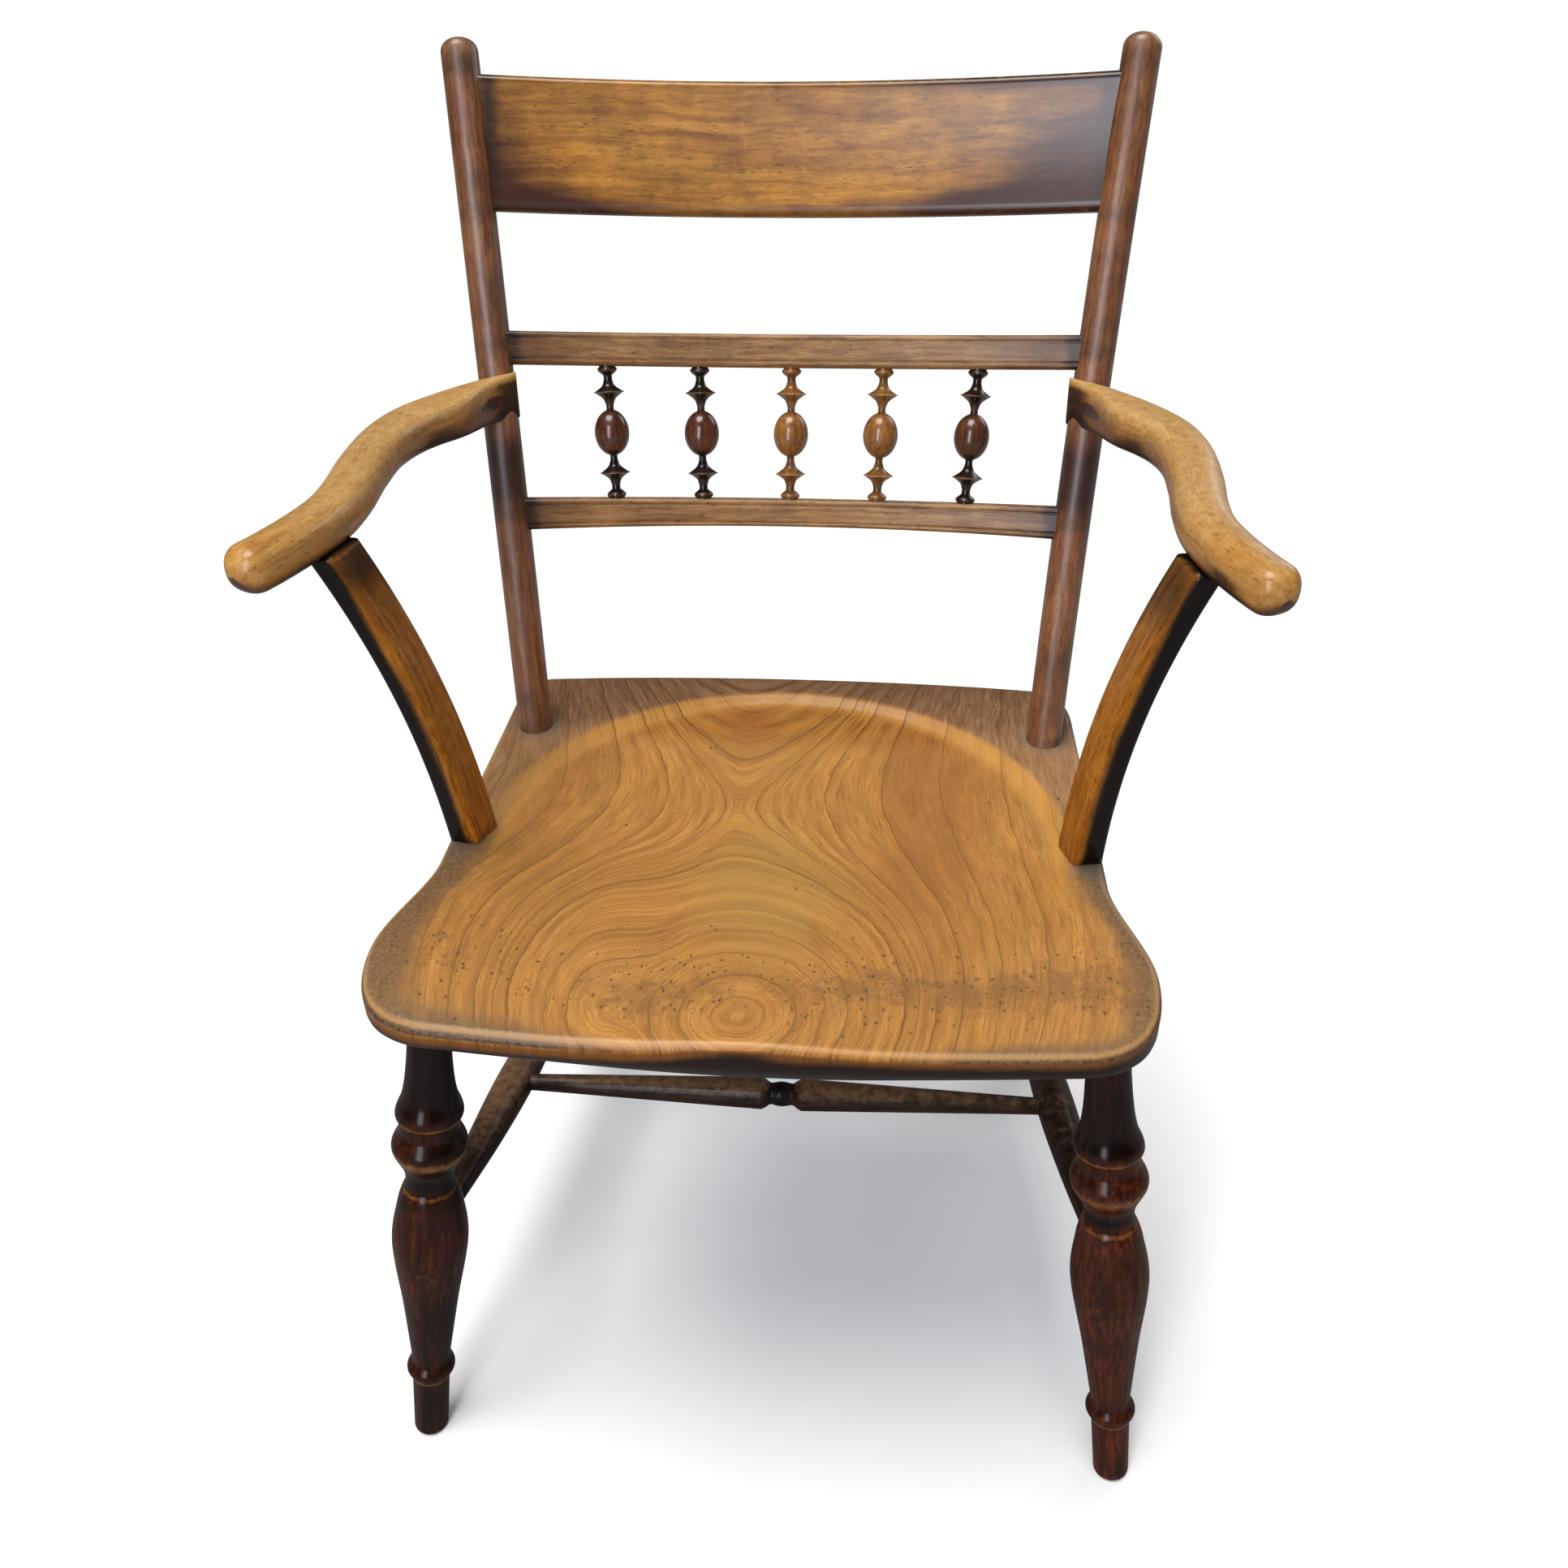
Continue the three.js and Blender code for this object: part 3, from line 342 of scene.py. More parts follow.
def sweep(path, sections, across):
    """Each section is laid square to the path, its first axis as near to across as it can lie."""
    along = unit(np.gradient(path, axis=0))
    first = unit(across - along * (along @ across)[:, None])
    second = np.cross(along, first)
    return path[:, None] + first[:, None] * sections[..., :1] + second[:, None] * sections[..., 1:]


def domed_bar(start, dome_share, trim_share, steps, dome_steps, power, least):
    """Shares of a bar's length from the start to its domed end, and what is left of its width at each: the
    square root of one less the share of the dome to the power."""
    dome_height = trim_share * dome_share
    into_dome = np.sin(np.linspace(0, math.pi / 2, dome_steps)[1:])
    shares = np.concatenate([
        np.linspace(start, 1 - dome_share, steps), 1 - dome_share + dome_height * into_dome])
    into_dome = np.clip((shares - (1 - dome_share)) / dome_height, 0, 1)
    return shares, np.sqrt(np.maximum(least, 1 - into_dome**power))


def in_wood(sections, distances):
    """Each point's place in its straight piece of wood: its section, then the distance along the piece."""
    along = np.broadcast_to(distances[:, None, None], sections.shape[:2] + (1,))
    return np.concatenate([sections, along], axis=2)


# Turned work

def turning_profile(runs, spacing, softness):
    """Smooth runs of [height, radius] end to end, resampled evenly, with their corners eased."""
    line = np.concatenate([catmull_rom(run) for run in runs])
    line = evenly_along(line, int(lengths_along(line)[-1] / spacing) + 1)
    for _ in range(softness):
        line[1:-1] = (line[:-2] + 2 * line[1:-1] + line[2:]) / 4
    return line


def turned(foot, top, profile, count):
    """The profile spun about the line from foot to top; also each point's place in the wood."""
    along = unit(top - foot)
    first = unit(np.cross(UP if abs(along[2]) < 0.9 else SIDEWAYS, along))
    second = np.cross(along, first)
    spun = profile[:, 1][:, None, None] * round_section(count)
    wood = in_wood(spun, profile[:, 0])
    grid = foot + wood[..., 2:] * along + spun[..., :1] * first + spun[..., 1:] * second
    return grid, wood


def upward_side(grid, radius, low, high):
    """0 to 1 up the round of a level turning, by the height over its axis in shares of the radius."""
    return smoothstep(low, high, (grid[..., 2] - grid[..., 2].mean(1)[:, None]) / radius)


def proud_and_sunk(profile, half, depth):
    """How far each place of a turning stands proud of, or below, its neighbours, from 0 to 1."""
    kernel = np.ones(2 * half + 1) / (2 * half + 1)
    mean = np.convolve(np.pad(profile[:, 1], half, mode="edge"), kernel, mode="valid")
    difference = profile[:, 1] - mean
    return np.clip(difference / depth, 0, 1), np.clip(-difference / depth, 0, 1)


# Meshes

def make_piece(name, grid, wood, material, slot, node, **fields):
    """A skin over a grid of rings, closed by a fan at each end; fields are values by point or by ring."""
    rows, count = grid.shape[:2]
    j = np.arange(count)
    k = (j + 1) % count
    base = (np.arange(rows - 1) * count)[:, None]
    quads = np.stack([base + j, base + k, base + count + k, base + count + j], axis=-1).reshape(-1, 4)
    last = (rows - 1) * count
    first_fan = np.stack([np.full(count, rows * count), k, j], axis=-1)
    last_fan = np.stack([np.full(count, rows * count + 1), last + j, last + k], axis=-1)
    fans = np.concatenate([first_fan, last_fan])
    corners = np.concatenate([quads.ravel(), fans.ravel()])
    starts = np.concatenate([np.arange(len(quads)) * 4, quads.size + np.arange(len(fans)) * 3])

    def spread(values):
        """The values by point, with those of the two middles of the fans, which are means."""
        flat = values.reshape(rows * count, -1)
        return np.concatenate([flat, flat[:count].mean(0)[None], flat[-count:].mean(0)[None]])

    mesh = bpy.data.meshes.new(name)
    points = spread(grid) * MM
    mesh.vertices.add(len(points))
    mesh.vertices.foreach_set("co", points.ravel())
    mesh.loops.add(len(corners))
    mesh.loops.foreach_set("vertex_index", corners)
    mesh.polygons.add(len(starts))
    mesh.polygons.foreach_set("loop_start", starts)
    mesh.update(calc_edges=True)
    mesh.shade_smooth()
    grain = mesh.attributes.new("grain", "FLOAT_VECTOR", "POINT")
    grain.data.foreach_set("vector", (spread(wood) * MM).ravel())
    for field, values in fields.items():
        attribute = mesh.attributes.new(field, "FLOAT", "POINT")
        values = values[:, None] if np.ndim(values) == 1 else values
        by_point = np.broadcast_to(values, (rows, count)).astype(float)
        attribute.data.foreach_set("value", spread(by_point).ravel())
    mesh.materials.append(material)
    piece = bpy.data.objects.new(name, mesh)
    bpy.context.scene.collection.objects.link(piece)
    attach(piece, "root")
    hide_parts(node)


# Materials

A, B = 6, 7  # the colour inputs of a Mix node
COLOUR = {"data_type": "RGBA"}
TINT = {"data_type": "RGBA", "blend_type": "MULTIPLY"}
TIMES_PLUS = {"operation": "MULTIPLY_ADD"}
EASED = {"interpolation_type": "SMOOTHSTEP"}


def linear(colour):
    """An sRGB hex colour, or a linear grey level, as linear RGBA."""
    if not isinstance(colour, str):
        return (colour, colour, colour, 1.0)
    channels = [int(colour[i:i + 2], 16) / 255 for i in (1, 3, 5)]
    return tuple(c / 12.92 if c <= 0.04045 else ((c + 0.055) / 1.055) ** 2.4 for c in channels) + (1.0,)


def add_node(tree, kind, inputs=(), output=None, stops=(), **settings):
    """A node of that kind with its settings and its stops (position, colour), given as its output socket,
    the first in use unless output names one. An input is a socket to link, a hex colour or a value."""
    node = tree.nodes.new("ShaderNode" + kind)
    for key, value in settings.items():
        setattr(node, key, value)
    for key, value in dict(inputs).items():
        if isinstance(value, bpy.types.NodeSocket):
            tree.links.new(value, node.inputs[key])
        else:
            node.inputs[key].default_value = linear(value) if isinstance(value, str) else value
    elements = node.color_ramp.elements if stops else ()
    while len(elements) < len(stops):
        elements.new(0.5)
    for element, (position, colour) in zip(elements, stops):
        element.position = position
        element.color = linear(colour)
    return node.outputs[output] if output else next((way for way in node.outputs if way.enabled), None)


def adder(owner):
    """The function that adds nodes to the owner's own tree, which starts empty."""
    owner.use_nodes = True
    owner.node_tree.nodes.clear()
    return functools.partial(add_node, owner.node_tree)


def ragged(add, name, noises, low, high, most=1.0):
    """The field of that name with shares of noises added, brought from low..high to 0..most on an S curve."""
    value = add("Attribute", output="Fac", attribute_name=name)
    for noise, share in noises:
        value = add("Math", {0: noise, 1: share, 2: value}, **TIMES_PLUS)
    return add("MapRange", {0: value, 1: low, 2: high, 3: 0.0, 4: most}, **EASED)


def layered(add, ground, layers):
    """The ground with each layer over it: its share, its colour, and whether it covers or tints."""
    for share, colour, way in layers:
        ground = add("Mix", {0: share, A: ground, B: colour}, **way)
    return ground


def finish_wood(add, colour, roughness, height, bump_mm, specular, coat, coat_roughness):
    """Waxed wood under a coat of polish, over its colour, roughness and height sockets."""
    bump = add("Bump", {"Height": height, "Strength": 1.0, "Distance": bump_mm * MM})
    shader = add("BsdfPrincipled", {
        "Base Color": colour, "Roughness": roughness, "Normal": bump, "IOR": 1.5, "Coat IOR": 1.6,
        "Specular IOR Level": specular, "Coat Weight": coat, "Coat Roughness": coat_roughness})
    add("OutputMaterial", {"Surface": shader})


def stained_beech(name, tones, worn, sooty_and_shade, shaded, streak=3.2, coat=0.3, gloss=0.36, specular=0.4,
                  mottle=0.62, coat_roughness=0.17):
    """Beech, turned or planed, stained and waxed: close straight grain, short dark flecks, pale where
    hands and shoes have rubbed the proud places, near black in the hollows, mottled where stain wore off."""
    material = bpy.data.materials.new(name)
    add = adder(material)
    place = add("Attribute", output="Vector", attribute_name="grain")
    # The grain sways by 12 mm in bends about 70 mm long, and what lies along it is drawn out
    sway = add("TexNoise", {"Vector": place, "Scale": 14.0, "Detail": 2.0}, "Color")
    swayed = add("VectorMath", {0: sway, 1: (0.012, 0.012, 0.0), 2: place}, **TIMES_PLUS)
    long = add("Mapping", {"Vector": swayed, "Scale": (1.0, 1.0, 0.06)})
    dashes = add("Mapping", {"Vector": place, "Scale": (1.0, 1.0, 0.16)})
    # Noises: what each is laid along, the size of its features in mm, its detail and its roughness
    rows = {
        "fibre": (long, 0.7, 3.0, 0.7), "streak": (long, streak, 5.0, 0.62), "edge": (long, 14, 4.0, 0.6),
        "cloud": (place, 42, 5.0, 0.68), "fleck": (dashes, 0.9, 1.0, 0.5), "patch": (place, 7, 5.0, 0.7),
        "smear": (place, 22, 4.0, 0.65), "wave": (long, 9, 2.0, 0.5)}
    noise = {
        key: add("TexNoise", {
            "Vector": along, "Scale": 1 / (size * MM), "Detail": detail, "Roughness": roughness})
        for key, (along, size, detail, roughness) in rows.items()}
    streaks = add("ValToRGB", {0: noise["streak"]}, stops=tuple(zip((0.3, 0.5, 0.72), tones)))
    # Old stain lies in clouds of 20 to 50 mm, and beech flecks are dashes about 0.4 mm wide and 3 mm long
    cloud = add("ValToRGB", {0: noise["cloud"]}, stops=((0.34, mottle), (0.6, 1.0)))
    fleck = add("ValToRGB", {0: noise["fleck"]}, stops=((0.62, 0.0), (0.72, 0.6)))
    fine, deep, pale = (add("ValToRGB", {0: noise["fibre"]}, stops=((0.3, least), (0.66, most)))
                        for least, most in ((0.78, 1.08), (0.7, 1.25), (0.7, 1.1)))
    # Shade is the piece's own change of tone, such as a crest's dark ends or a support's black outer face,
    # and also painted shade, as on a leg's thigh under the seat and an arm's underside
    shade = ragged(add, "shade", [(noise["edge"], 0.7)], 0.45, 1.2)
    wear = ragged(add, "wear", [(noise["patch"], 1.1)], 0.85, 1.55)
    # Grime is dirt in hollows and joints, and also painted shade along an arm's underside
    grime = ragged(add, "grime", [(noise["patch"], 0.6)], 0.5, 1.3)
    wood = layered(add, streaks, [
        (1.0, cloud, TINT), (fleck, sooty_and_shade, COLOUR), (1.0, fine, TINT),
        (shade, layered(add, shaded, [(1.0, deep, TINT)]), COLOUR),
        (wear, layered(add, worn, [(1.0, pale, TINT)]), COLOUR), (grime, sooty_and_shade, COLOUR)])
    # Wax lies unevenly, duller in the grime and painted shade; the height is slow hand-planed waves, then
    # fibres
    wax = add("MapRange", {0: noise["smear"], 1: 0.3, 2: 0.7, 3: gloss - 0.07, 4: gloss + 0.12})
    roughness = add("Math", {0: grime, 1: 0.25, 2: wax}, **TIMES_PLUS)
    height = add("Math", {0: noise["fibre"], 1: 0.2, 2: noise["wave"]}, **TIMES_PLUS)
    finish_wood(add, wood, roughness, height, 0.26, specular, coat, coat_roughness)
    return material


# For each use: tones from dark to light, and streak in mm
STAINED_WOODS = {
    "leg": dict(name="black_stained_beech", tones=("#2a0f09", "#552212", "#813d1f"), worn="#96602f",
                sooty_and_shade="#050201", shaded="#0b0402", coat=0.35, gloss=0.5, specular=0.04, mottle=0.35,
                coat_roughness=0.2),
    "stretcher": dict(name="rubbed_stained_beech", tones=("#1c100a", "#372116", "#553725"), worn="#8b6848",
                      sooty_and_shade="#080402", shaded="#150b07", coat=0.12, gloss=0.5, specular=0.2, mottle=0.4),
    "post": dict(name="red_brown_beech", tones=("#6b3618", "#935a33", "#ae774a"), worn="#bd8d62",
                 sooty_and_shade="#1c0c06", shaded="#3a180c", coat=1.0, gloss=0.42, mottle=0.5, coat_roughness=0.42),
    "rail": dict(name="brown_stained_beech", tones=("#774b24", "#a07443", "#bd915c"), worn="#cfaa7b",
                 sooty_and_shade="#1d0f07", shaded="#4b2813", gloss=0.42, specular=0.25, mottle=0.65),
    "crest": dict(name="golden_stained_beech", tones=("#8d5212", "#b87a24", "#d29638"), worn="#c89a5a",
                  sooty_and_shade="#241006", shaded="#3f1a08", streak=5.0, coat=0.8, gloss=0.5, specular=0.05,
                  mottle=0.5, coat_roughness=0.22),
    "arm": dict(name="honey_beech", tones=("#a87032", "#c58c41", "#d6a258"), worn="#dcb070",
                sooty_and_shade="#27140a", shaded="#7d4a1e", streak=4.0, coat=0.6, gloss=0.42, specular=0.25,
                mottle=0.86, coat_roughness=0.25),
    "support": dict(name="amber_beech", tones=("#8a4a10", "#b8731f", "#d08f36"), worn="#d39a4e",
                    sooty_and_shade="#0c0402", shaded="#120804", coat=0.25, gloss=0.45, specular=0.1, mottle=0.7),
    "golden": dict(name="golden_turned_beech", tones=("#70431b", "#9a652c", "#b88045"), worn="#c4955c",
                   sooty_and_shade="#1c0d05", shaded="#3c200e", streak=2.4, coat=0.8, specular=0.25, mottle=0.7),
    "dark": dict(name="dark_turned_beech", tones=("#34170a", "#5a2e1a", "#7c4c30"), worn="#8a5f40",
                 sooty_and_shade="#0a0402", shaded="#1a0b05", streak=2.4, coat=0.8, specular=0.25, mottle=0.6),
}


def elm_rings(x, y):
    """The number of the growth line at each place: Cassini's ovals round two hearts. With t the product of
    the distances to the hearts, over its value halfway between them, less one, it is k t / sqrt(|t| + e),
    which is below zero on the ovals round one heart alone. The ovals behind are drawn to points."""
    swing = FLANK_SWING * smoothstep(*FLANK_FORWARDS, -y) * smoothstep(*FLANK_OUTWARDS, -x)
    to_front = np.hypot(x + swing - FRONT_HEART[0], y - FRONT_HEART[1])
    to_back = (np.abs(x + swing - BACK_HEART[0]) ** VEE_POWER
               + np.abs(y - BACK_HEART[1]) ** VEE_POWER) ** (1 / VEE_POWER)
    halfway = math.dist(FRONT_HEART, BACK_HEART) / 2
    t = to_front * to_back / halfway**2 - 1
    return np.where(t < 0, RINGS_INSIDE, RINGS_OUTSIDE) * t / np.sqrt(np.abs(t) + RING_SADDLE_EASE)


def growth_lines(add, pores, ring, pace):
    """Each growth line is a row of open pores, a dark hair sharp on one side, with a warm glow that fades
    over 9 mm on the other. It has a strength of its own."""
    number = add("Math", {0: ring}, operation="FLOOR")
    past = add("Math", {0: ring}, operation="FRACT")
    past_mm = add("Math", {0: past, 1: pace}, operation="DIVIDE")
    first = FIRST_LINE - 0.5
    share = add("MapRange", {0: number, 1: first, 2: first + len(LINE_SHARES)})
    stops = [(i / len(LINE_SHARES), strength) for i, strength in enumerate(LINE_SHARES)]
    strength = add("ValToRGB", {0: share}, stops=stops)
    strength.node.color_ramp.interpolation = "CONSTANT"
    broken = add("ValToRGB", {0: pores}, stops=((0.36, 0.35), (0.56, 1.0)))
    hair = add("MapRange", {0: past_mm, 1: 0.3, 2: 1.5, 3: 1.0, 4: 0.0})
    glow = add("MapRange", {0: past_mm, 1: 0.0, 2: 9.0, 3: 0.42, 4: 0.0}, **EASED)
    return (layered(add, hair, [(1.0, broken, TINT), (1.0, strength, TINT)]),
            layered(add, glow, [(1.0, strength, TINT)]))


def elm_pits(add, place, noise):
    """How deep in a pit each place lies, and how crowded the pits are there: dark specks 1 to 2 mm long, in
    crowds behind the front edge."""
    stretched = add("Mapping", {"Vector": place, "Scale": (1.0, 0.62, 1.0)})
    distance = add("TexVoronoi", {"Vector": stretched, "Scale": 1 / (3.1 * MM), "Randomness": 1.0})
    chance = add("SeparateColor", {0: distance.node.outputs["Color"]})
    crowd = add("Attribute", output="Fac", attribute_name="pitted")
    crowd = add("Math", {0: crowd, 1: 1.0, 2: -1.25}, **TIMES_PLUS)
    crowd = add("Math", {0: noise["crowd"], 1: 2.3, 2: crowd}, **TIMES_PLUS)
    present = add("Math", {0: chance, 1: crowd}, operation="LESS_THAN")
    size = add("Math", {0: noise["size"], 1: 0.9, 2: -0.12}, **TIMES_PLUS)
    distance = add("Math", {0: noise["ragged"], 1: 0.35, 2: distance}, **TIMES_PLUS)
    inside = add("Math", {0: size, 1: distance}, operation="SUBTRACT")
    speck = add("MapRange", {0: inside, 1: -0.12, 2: 0.08, 3: 0.0, 4: 0.9})
    return add("Math", {0: present, 1: speck}, operation="MULTIPLY"), crowd


def saddled_elm():
    """Elm, sawn flat, adzed and scraped to a saddle: bold dark growth lines in ovals and arches, honey where
    it is polished by use, red-brown and dusty behind the ridge, pitted and dark at the front corners."""
    material = bpy.data.materials.new("saddled_elm")
    add = adder(material)
    place = add("TexCoord", output="Object")
    # Noises: the size of each one's features in mm, its detail and its roughness
    rows = {
        "slow": (38, 2.0, 0.5), "shake": (13, 4.0, 0.6), "pores": (1.7, 3.0, 0.7), "cloud": (60, 4.0, 0.6),
        "smudge": (15, 6.0, 0.74), "speckle": (2.2, 3.0, 0.8), "crowd": (15, 5.0, 0.75),
        "size": (5, 2.0, 0.5), "ragged": (1.2, 2.0, 0.5), "polish": (35, 5.0, 0.65), "wave": (26, 1.0, 0.5)}
    noise = {
        key: add("TexNoise", {
            "Vector": place, "Scale": 1 / (size * MM), "Detail": detail, "Roughness": roughness})
        for key, (size, detail, roughness) in rows.items()}
    ring, pace = (add("Attribute", output="Fac", attribute_name=name) for name in ("ring", "pace"))
    ring = add("Math", {0: noise["slow"], 1: 0.34, 2: ring}, **TIMES_PLUS)
    shake = add("Math", {0: noise["shake"], 1: 3.0, 2: -1.5}, **TIMES_PLUS)
    ring = add("Math", {0: shake, 1: pace, 2: ring}, **TIMES_PLUS)
    hair, glow = growth_lines(add, noise["pores"], ring, pace)
    # Fibres follow the figure: fine and coarse streaks between the lines, drawn out over 90 mm
    along = add("Math", {0: add("SeparateXYZ", {0: place}, "Y"), 1: 1 / (90 * MM), 2: 0.0}, **TIMES_PLUS)
    flow = add("CombineXYZ", {0: ring, 1: along})
    coarse = add("TexNoise", {"Vector": flow, "Scale": 2.3, "Detail": 4.0, "Roughness": 0.6})
    fine = add("Mapping", {"Vector": flow, "Scale": (13.0, 4.0, 1.0)})
    fine = add("TexNoise", {"Vector": fine, "Scale": 1.0, "Detail": 4.0, "Roughness": 0.7})
    streaks = add("Math", {0: coarse, 1: 0.35, 2: -0.02}, **TIMES_PLUS)
    streaks = add("Math", {0: fine, 1: 0.7, 2: streaks}, **TIMES_PLUS)
    ground = add("ValToRGB", {0: streaks}, stops=((0.33, "#7f4715"), (0.5, "#ad7431"), (0.68, "#cb944a")))
    olive, ruddy = (ragged(add, name, [(noise["cloud"], 0.5), (coarse, 0.5)], 0.6, 1.35, most)
                    for name, most in (("olive", 0.62), ("ruddy", 0.7)))
    # Slow clouds of deeper and paler polish over the whole top
    depths = add("TexNoise", {"Vector": flow, "Scale": 1 / (900 * MM), "Detail": 5.0, "Roughness": 0.62})
    depths = add("ValToRGB", {0: depths}, stops=((0.36, 0.68), (0.5, 0.96), (0.64, 1.14)))
    # Lip and rim are painted highlights; the ledge is the dry wood behind the ridge
    lip, ledge, rim = (
        add("Math", {0: add("Attribute", output="Fac", attribute_name=name), 1: share, 2: 0.0}, **TIMES_PLUS)
        for name, share in (("lip", 0.5), ("ledge", 0.82), ("rim", 0.5)))
    dry = add("ValToRGB", {0: streaks}, stops=((0.36, "#553a2b"), (0.52, "#89674d"), (0.68, "#ad8b6d")))
    pores = add("ValToRGB", {0: noise["pores"]}, stops=((0.3, 0.72), (0.5, 1.0), (0.75, 1.06)))
    patina = ragged(add, "patina", [(noise["smudge"], 0.75), (noise["speckle"], 0.55)], 0.85, 1.5, 0.9)
    greys = add("ValToRGB", {0: noise["speckle"]}, stops=((0.4, "#33241b"), (0.6, "#6d5644")))
    pit, crowd = elm_pits(add, place, noise)
    blot = add("MapRange", {0: crowd, 1: 0.3, 2: 1.1, 3: 0.0, 4: 0.75}, **EASED)
    # Painted shade down the front edge below the rim, brown and then near black
    brown = ragged(add, "under", [(noise["smudge"], 0.35)], 0.2, 0.5, 0.85)
    black = ragged(add, "under", [(noise["smudge"], 0.35)], 0.5, 0.95)
    dust = ragged(add, "dust", [(noise["smudge"], 0.8)], 0.7, 1.5, 0.8)
    # From the bottom up: zones, a painted highlight on the lip, the dry ledge behind it, growth lines, the
    # grey-brown patina of the front corners and the waist, pits, a painted highlight along the rim, painted
    # shade down the edge below it, and dust round the posts
    wood = layered(add, ground, [
        (olive, "#a8843f", COLOUR), (ruddy, "#8d4f22", COLOUR), (0.75, depths, TINT),
        (lip, "#d39a48", COLOUR), (ledge, dry, COLOUR), (0.85, pores, TINT), (glow, "#6f3f14", COLOUR),
        (hair, "#2a1708", COLOUR), (patina, greys, COLOUR), (blot, "#6b4526", COLOUR),
        (pit, "#27160b", COLOUR), (rim, "#dca968", COLOUR), (brown, "#74410f", COLOUR),
        (black, "#1b0903", COLOUR), (dust, "#6f675c", COLOUR)])
    polish = add("MapRange", {0: noise["polish"], 1: 0.3, 2: 0.7, 3: 0.36, 4: 0.52})
    roughness = add("Math", {0: dust, 1: 0.3, 2: polish}, **TIMES_PLUS)
    # Height: the scraper left slow waves, and pores, lines and pits are sunk
    height = noise["wave"]
    for mark, depth in ((noise["pores"], 0.1), (hair, -0.2), (pit, -0.7)):
        height = add("Math", {0: mark, 1: depth, 2: height}, **TIMES_PLUS)
    finish_wood(add, wood, roughness, height, 0.5, specular=0.22, coat=0.2, coat_roughness=0.24)
    return material


# Seat

def half_outline():
    """The right half of the seat's edge from the middle of the front to the middle of the back."""
    front, waist, rear = SEAT_WIDTH / 2, WAIST_WIDTH / 2, REAR_WIDTH / 2
    side_end = SEAT_DEPTH - REAR_CORNER_SETBACK
    back_corner = SEAT_DEPTH - BACK_EDGE_BOW
    pull = CORNER_PULL_SHARE
    # Each curve goes on from the end of the one before
    curves = [
        [((front - FRONT_CORNER_RUN) / 2, 0), (front - FRONT_CORNER_RUN, FRONT_EDGE_BOW)],
        [(front - FRONT_CORNER_RUN * (1 - pull), FRONT_EDGE_BOW * (1 + pull)),
         (front, FRONT_CORNER_SETBACK * (1 - pull)), (front, FRONT_CORNER_SETBACK)],
        [(front, FRONT_CORNER_SETBACK + SIDE_EASE),
         (waist, WAIST_SETBACK - SIDE_EASE), (waist, WAIST_SETBACK)],
        [(waist, WAIST_SETBACK + SIDE_EASE), (rear, side_end - SIDE_EASE), (rear, side_end)],
        [(rear, side_end + (REAR_CORNER_SETBACK - BACK_EDGE_BOW) * pull),
         (rear - REAR_CORNER_RUN * (1 - pull), back_corner), (rear - REAR_CORNER_RUN, back_corner)],
        [(rear / 2, SEAT_DEPTH), (0, SEAT_DEPTH)],
    ]
    start, runs = (0, 0), []
    for curve in curves:
        runs.append(bezier([start, *curve]))
        start = curve[-1]
    return np.concatenate(runs)


def ridge_inside(x, y):
    """0 on and behind the ridge of the saddle, 1 at the middle of the hollow."""
    across = x / RIDGE_HALF_WIDTH
    behind = np.maximum(0, y - (SEAT_DEPTH - RIDGE_SETBACK - RIDGE_LENGTH)) / RIDGE_LENGTH
    return np.maximum(0, 1 - np.hypot(across, behind))


def seat_top(x, y):
    """Height of the top: a ridge round the sitter, a bowl inside it, a fall to the front and a pommel."""
    inside = ridge_inside(x, y)
    lip = smoothstep(0, RIDGE_RUN / RIDGE_HALF_WIDTH, inside) * smoothstep(*RIDGE_FADE, y)
    bowl = inside * (2 - inside)
    front_share = np.maximum(0, 1 - y / FRONT_FALL_RUN)
    pommel = POMMEL_RISE * bell(x, 0, POMMEL_HALF_WIDTH) * front_share
    hollow = (lip * RIDGE_DROP + bowl * BOWL_DROP) * (1 - front_share**2)
    return SEAT_HEIGHT - hollow - FRONT_FALL * front_share**2 + pommel


def seat_rings():
    """Rings of points from the middle of the underside, round the edge, to the middle of the top, and how
    far in from the outline each lies. Here y is the distance back from the front edge."""
    count, under_rings, bevel_rings, edge_rings, top_rings = 448, 10, 8, 12, 110
    first_share, last_share = 0.02, 0.004
    half = evenly_along(half_outline(), count // 2 + 1)
    outline = np.concatenate([half, half[-2:0:-1] * [-1, 1]])
    along = unit(np.roll(outline, -1, 0) - np.roll(outline, 1, 0))
    out = np.stack([along[:, 1], -along[:, 0]], axis=1)
    centre = np.array([0, SEAT_DEPTH / 2])
    bevel = lerp(BEVEL_RUN, BEVEL_SIDE_RUN, (outline[:, 0] / (SEAT_WIDTH / 2)) ** 2)[:, None]
    rings, insets = [], []

    def ring(plan, height):
        rings.append(np.column_stack([plan, np.broadcast_to(height, len(plan))]))
        insets.append(np.linalg.norm(plan - outline, axis=1))

    for share in np.linspace(first_share, 1, under_rings):
        ring(lerp(centre, outline - out * bevel, share), SEAT_UNDERSIDE)
    # The chamfer under the edge bulges a little, as a spokeshave leaves it
    for share in np.linspace(0, 1, bevel_rings)[1:]:
        bulge = math.sin(share * math.pi / 2)
        ring(outline - out * bevel * (1 - bulge), SEAT_UNDERSIDE + BEVEL_RISE * share)
    for angle in np.linspace(0, math.pi / 2, edge_rings):
        plan = outline - out * EDGE_ROUND * (1 - math.cos(angle))
        ring(plan, seat_top(*plan.T) - EDGE_ROUND * (1 - math.sin(angle)))
    brim = outline - out * EDGE_ROUND
    for share in np.linspace(1, last_share, top_rings)[1:]:
        plan = lerp(centre, brim, share)
        ring(plan, seat_top(*plan.T))
    return np.array(rings), np.array(insets)


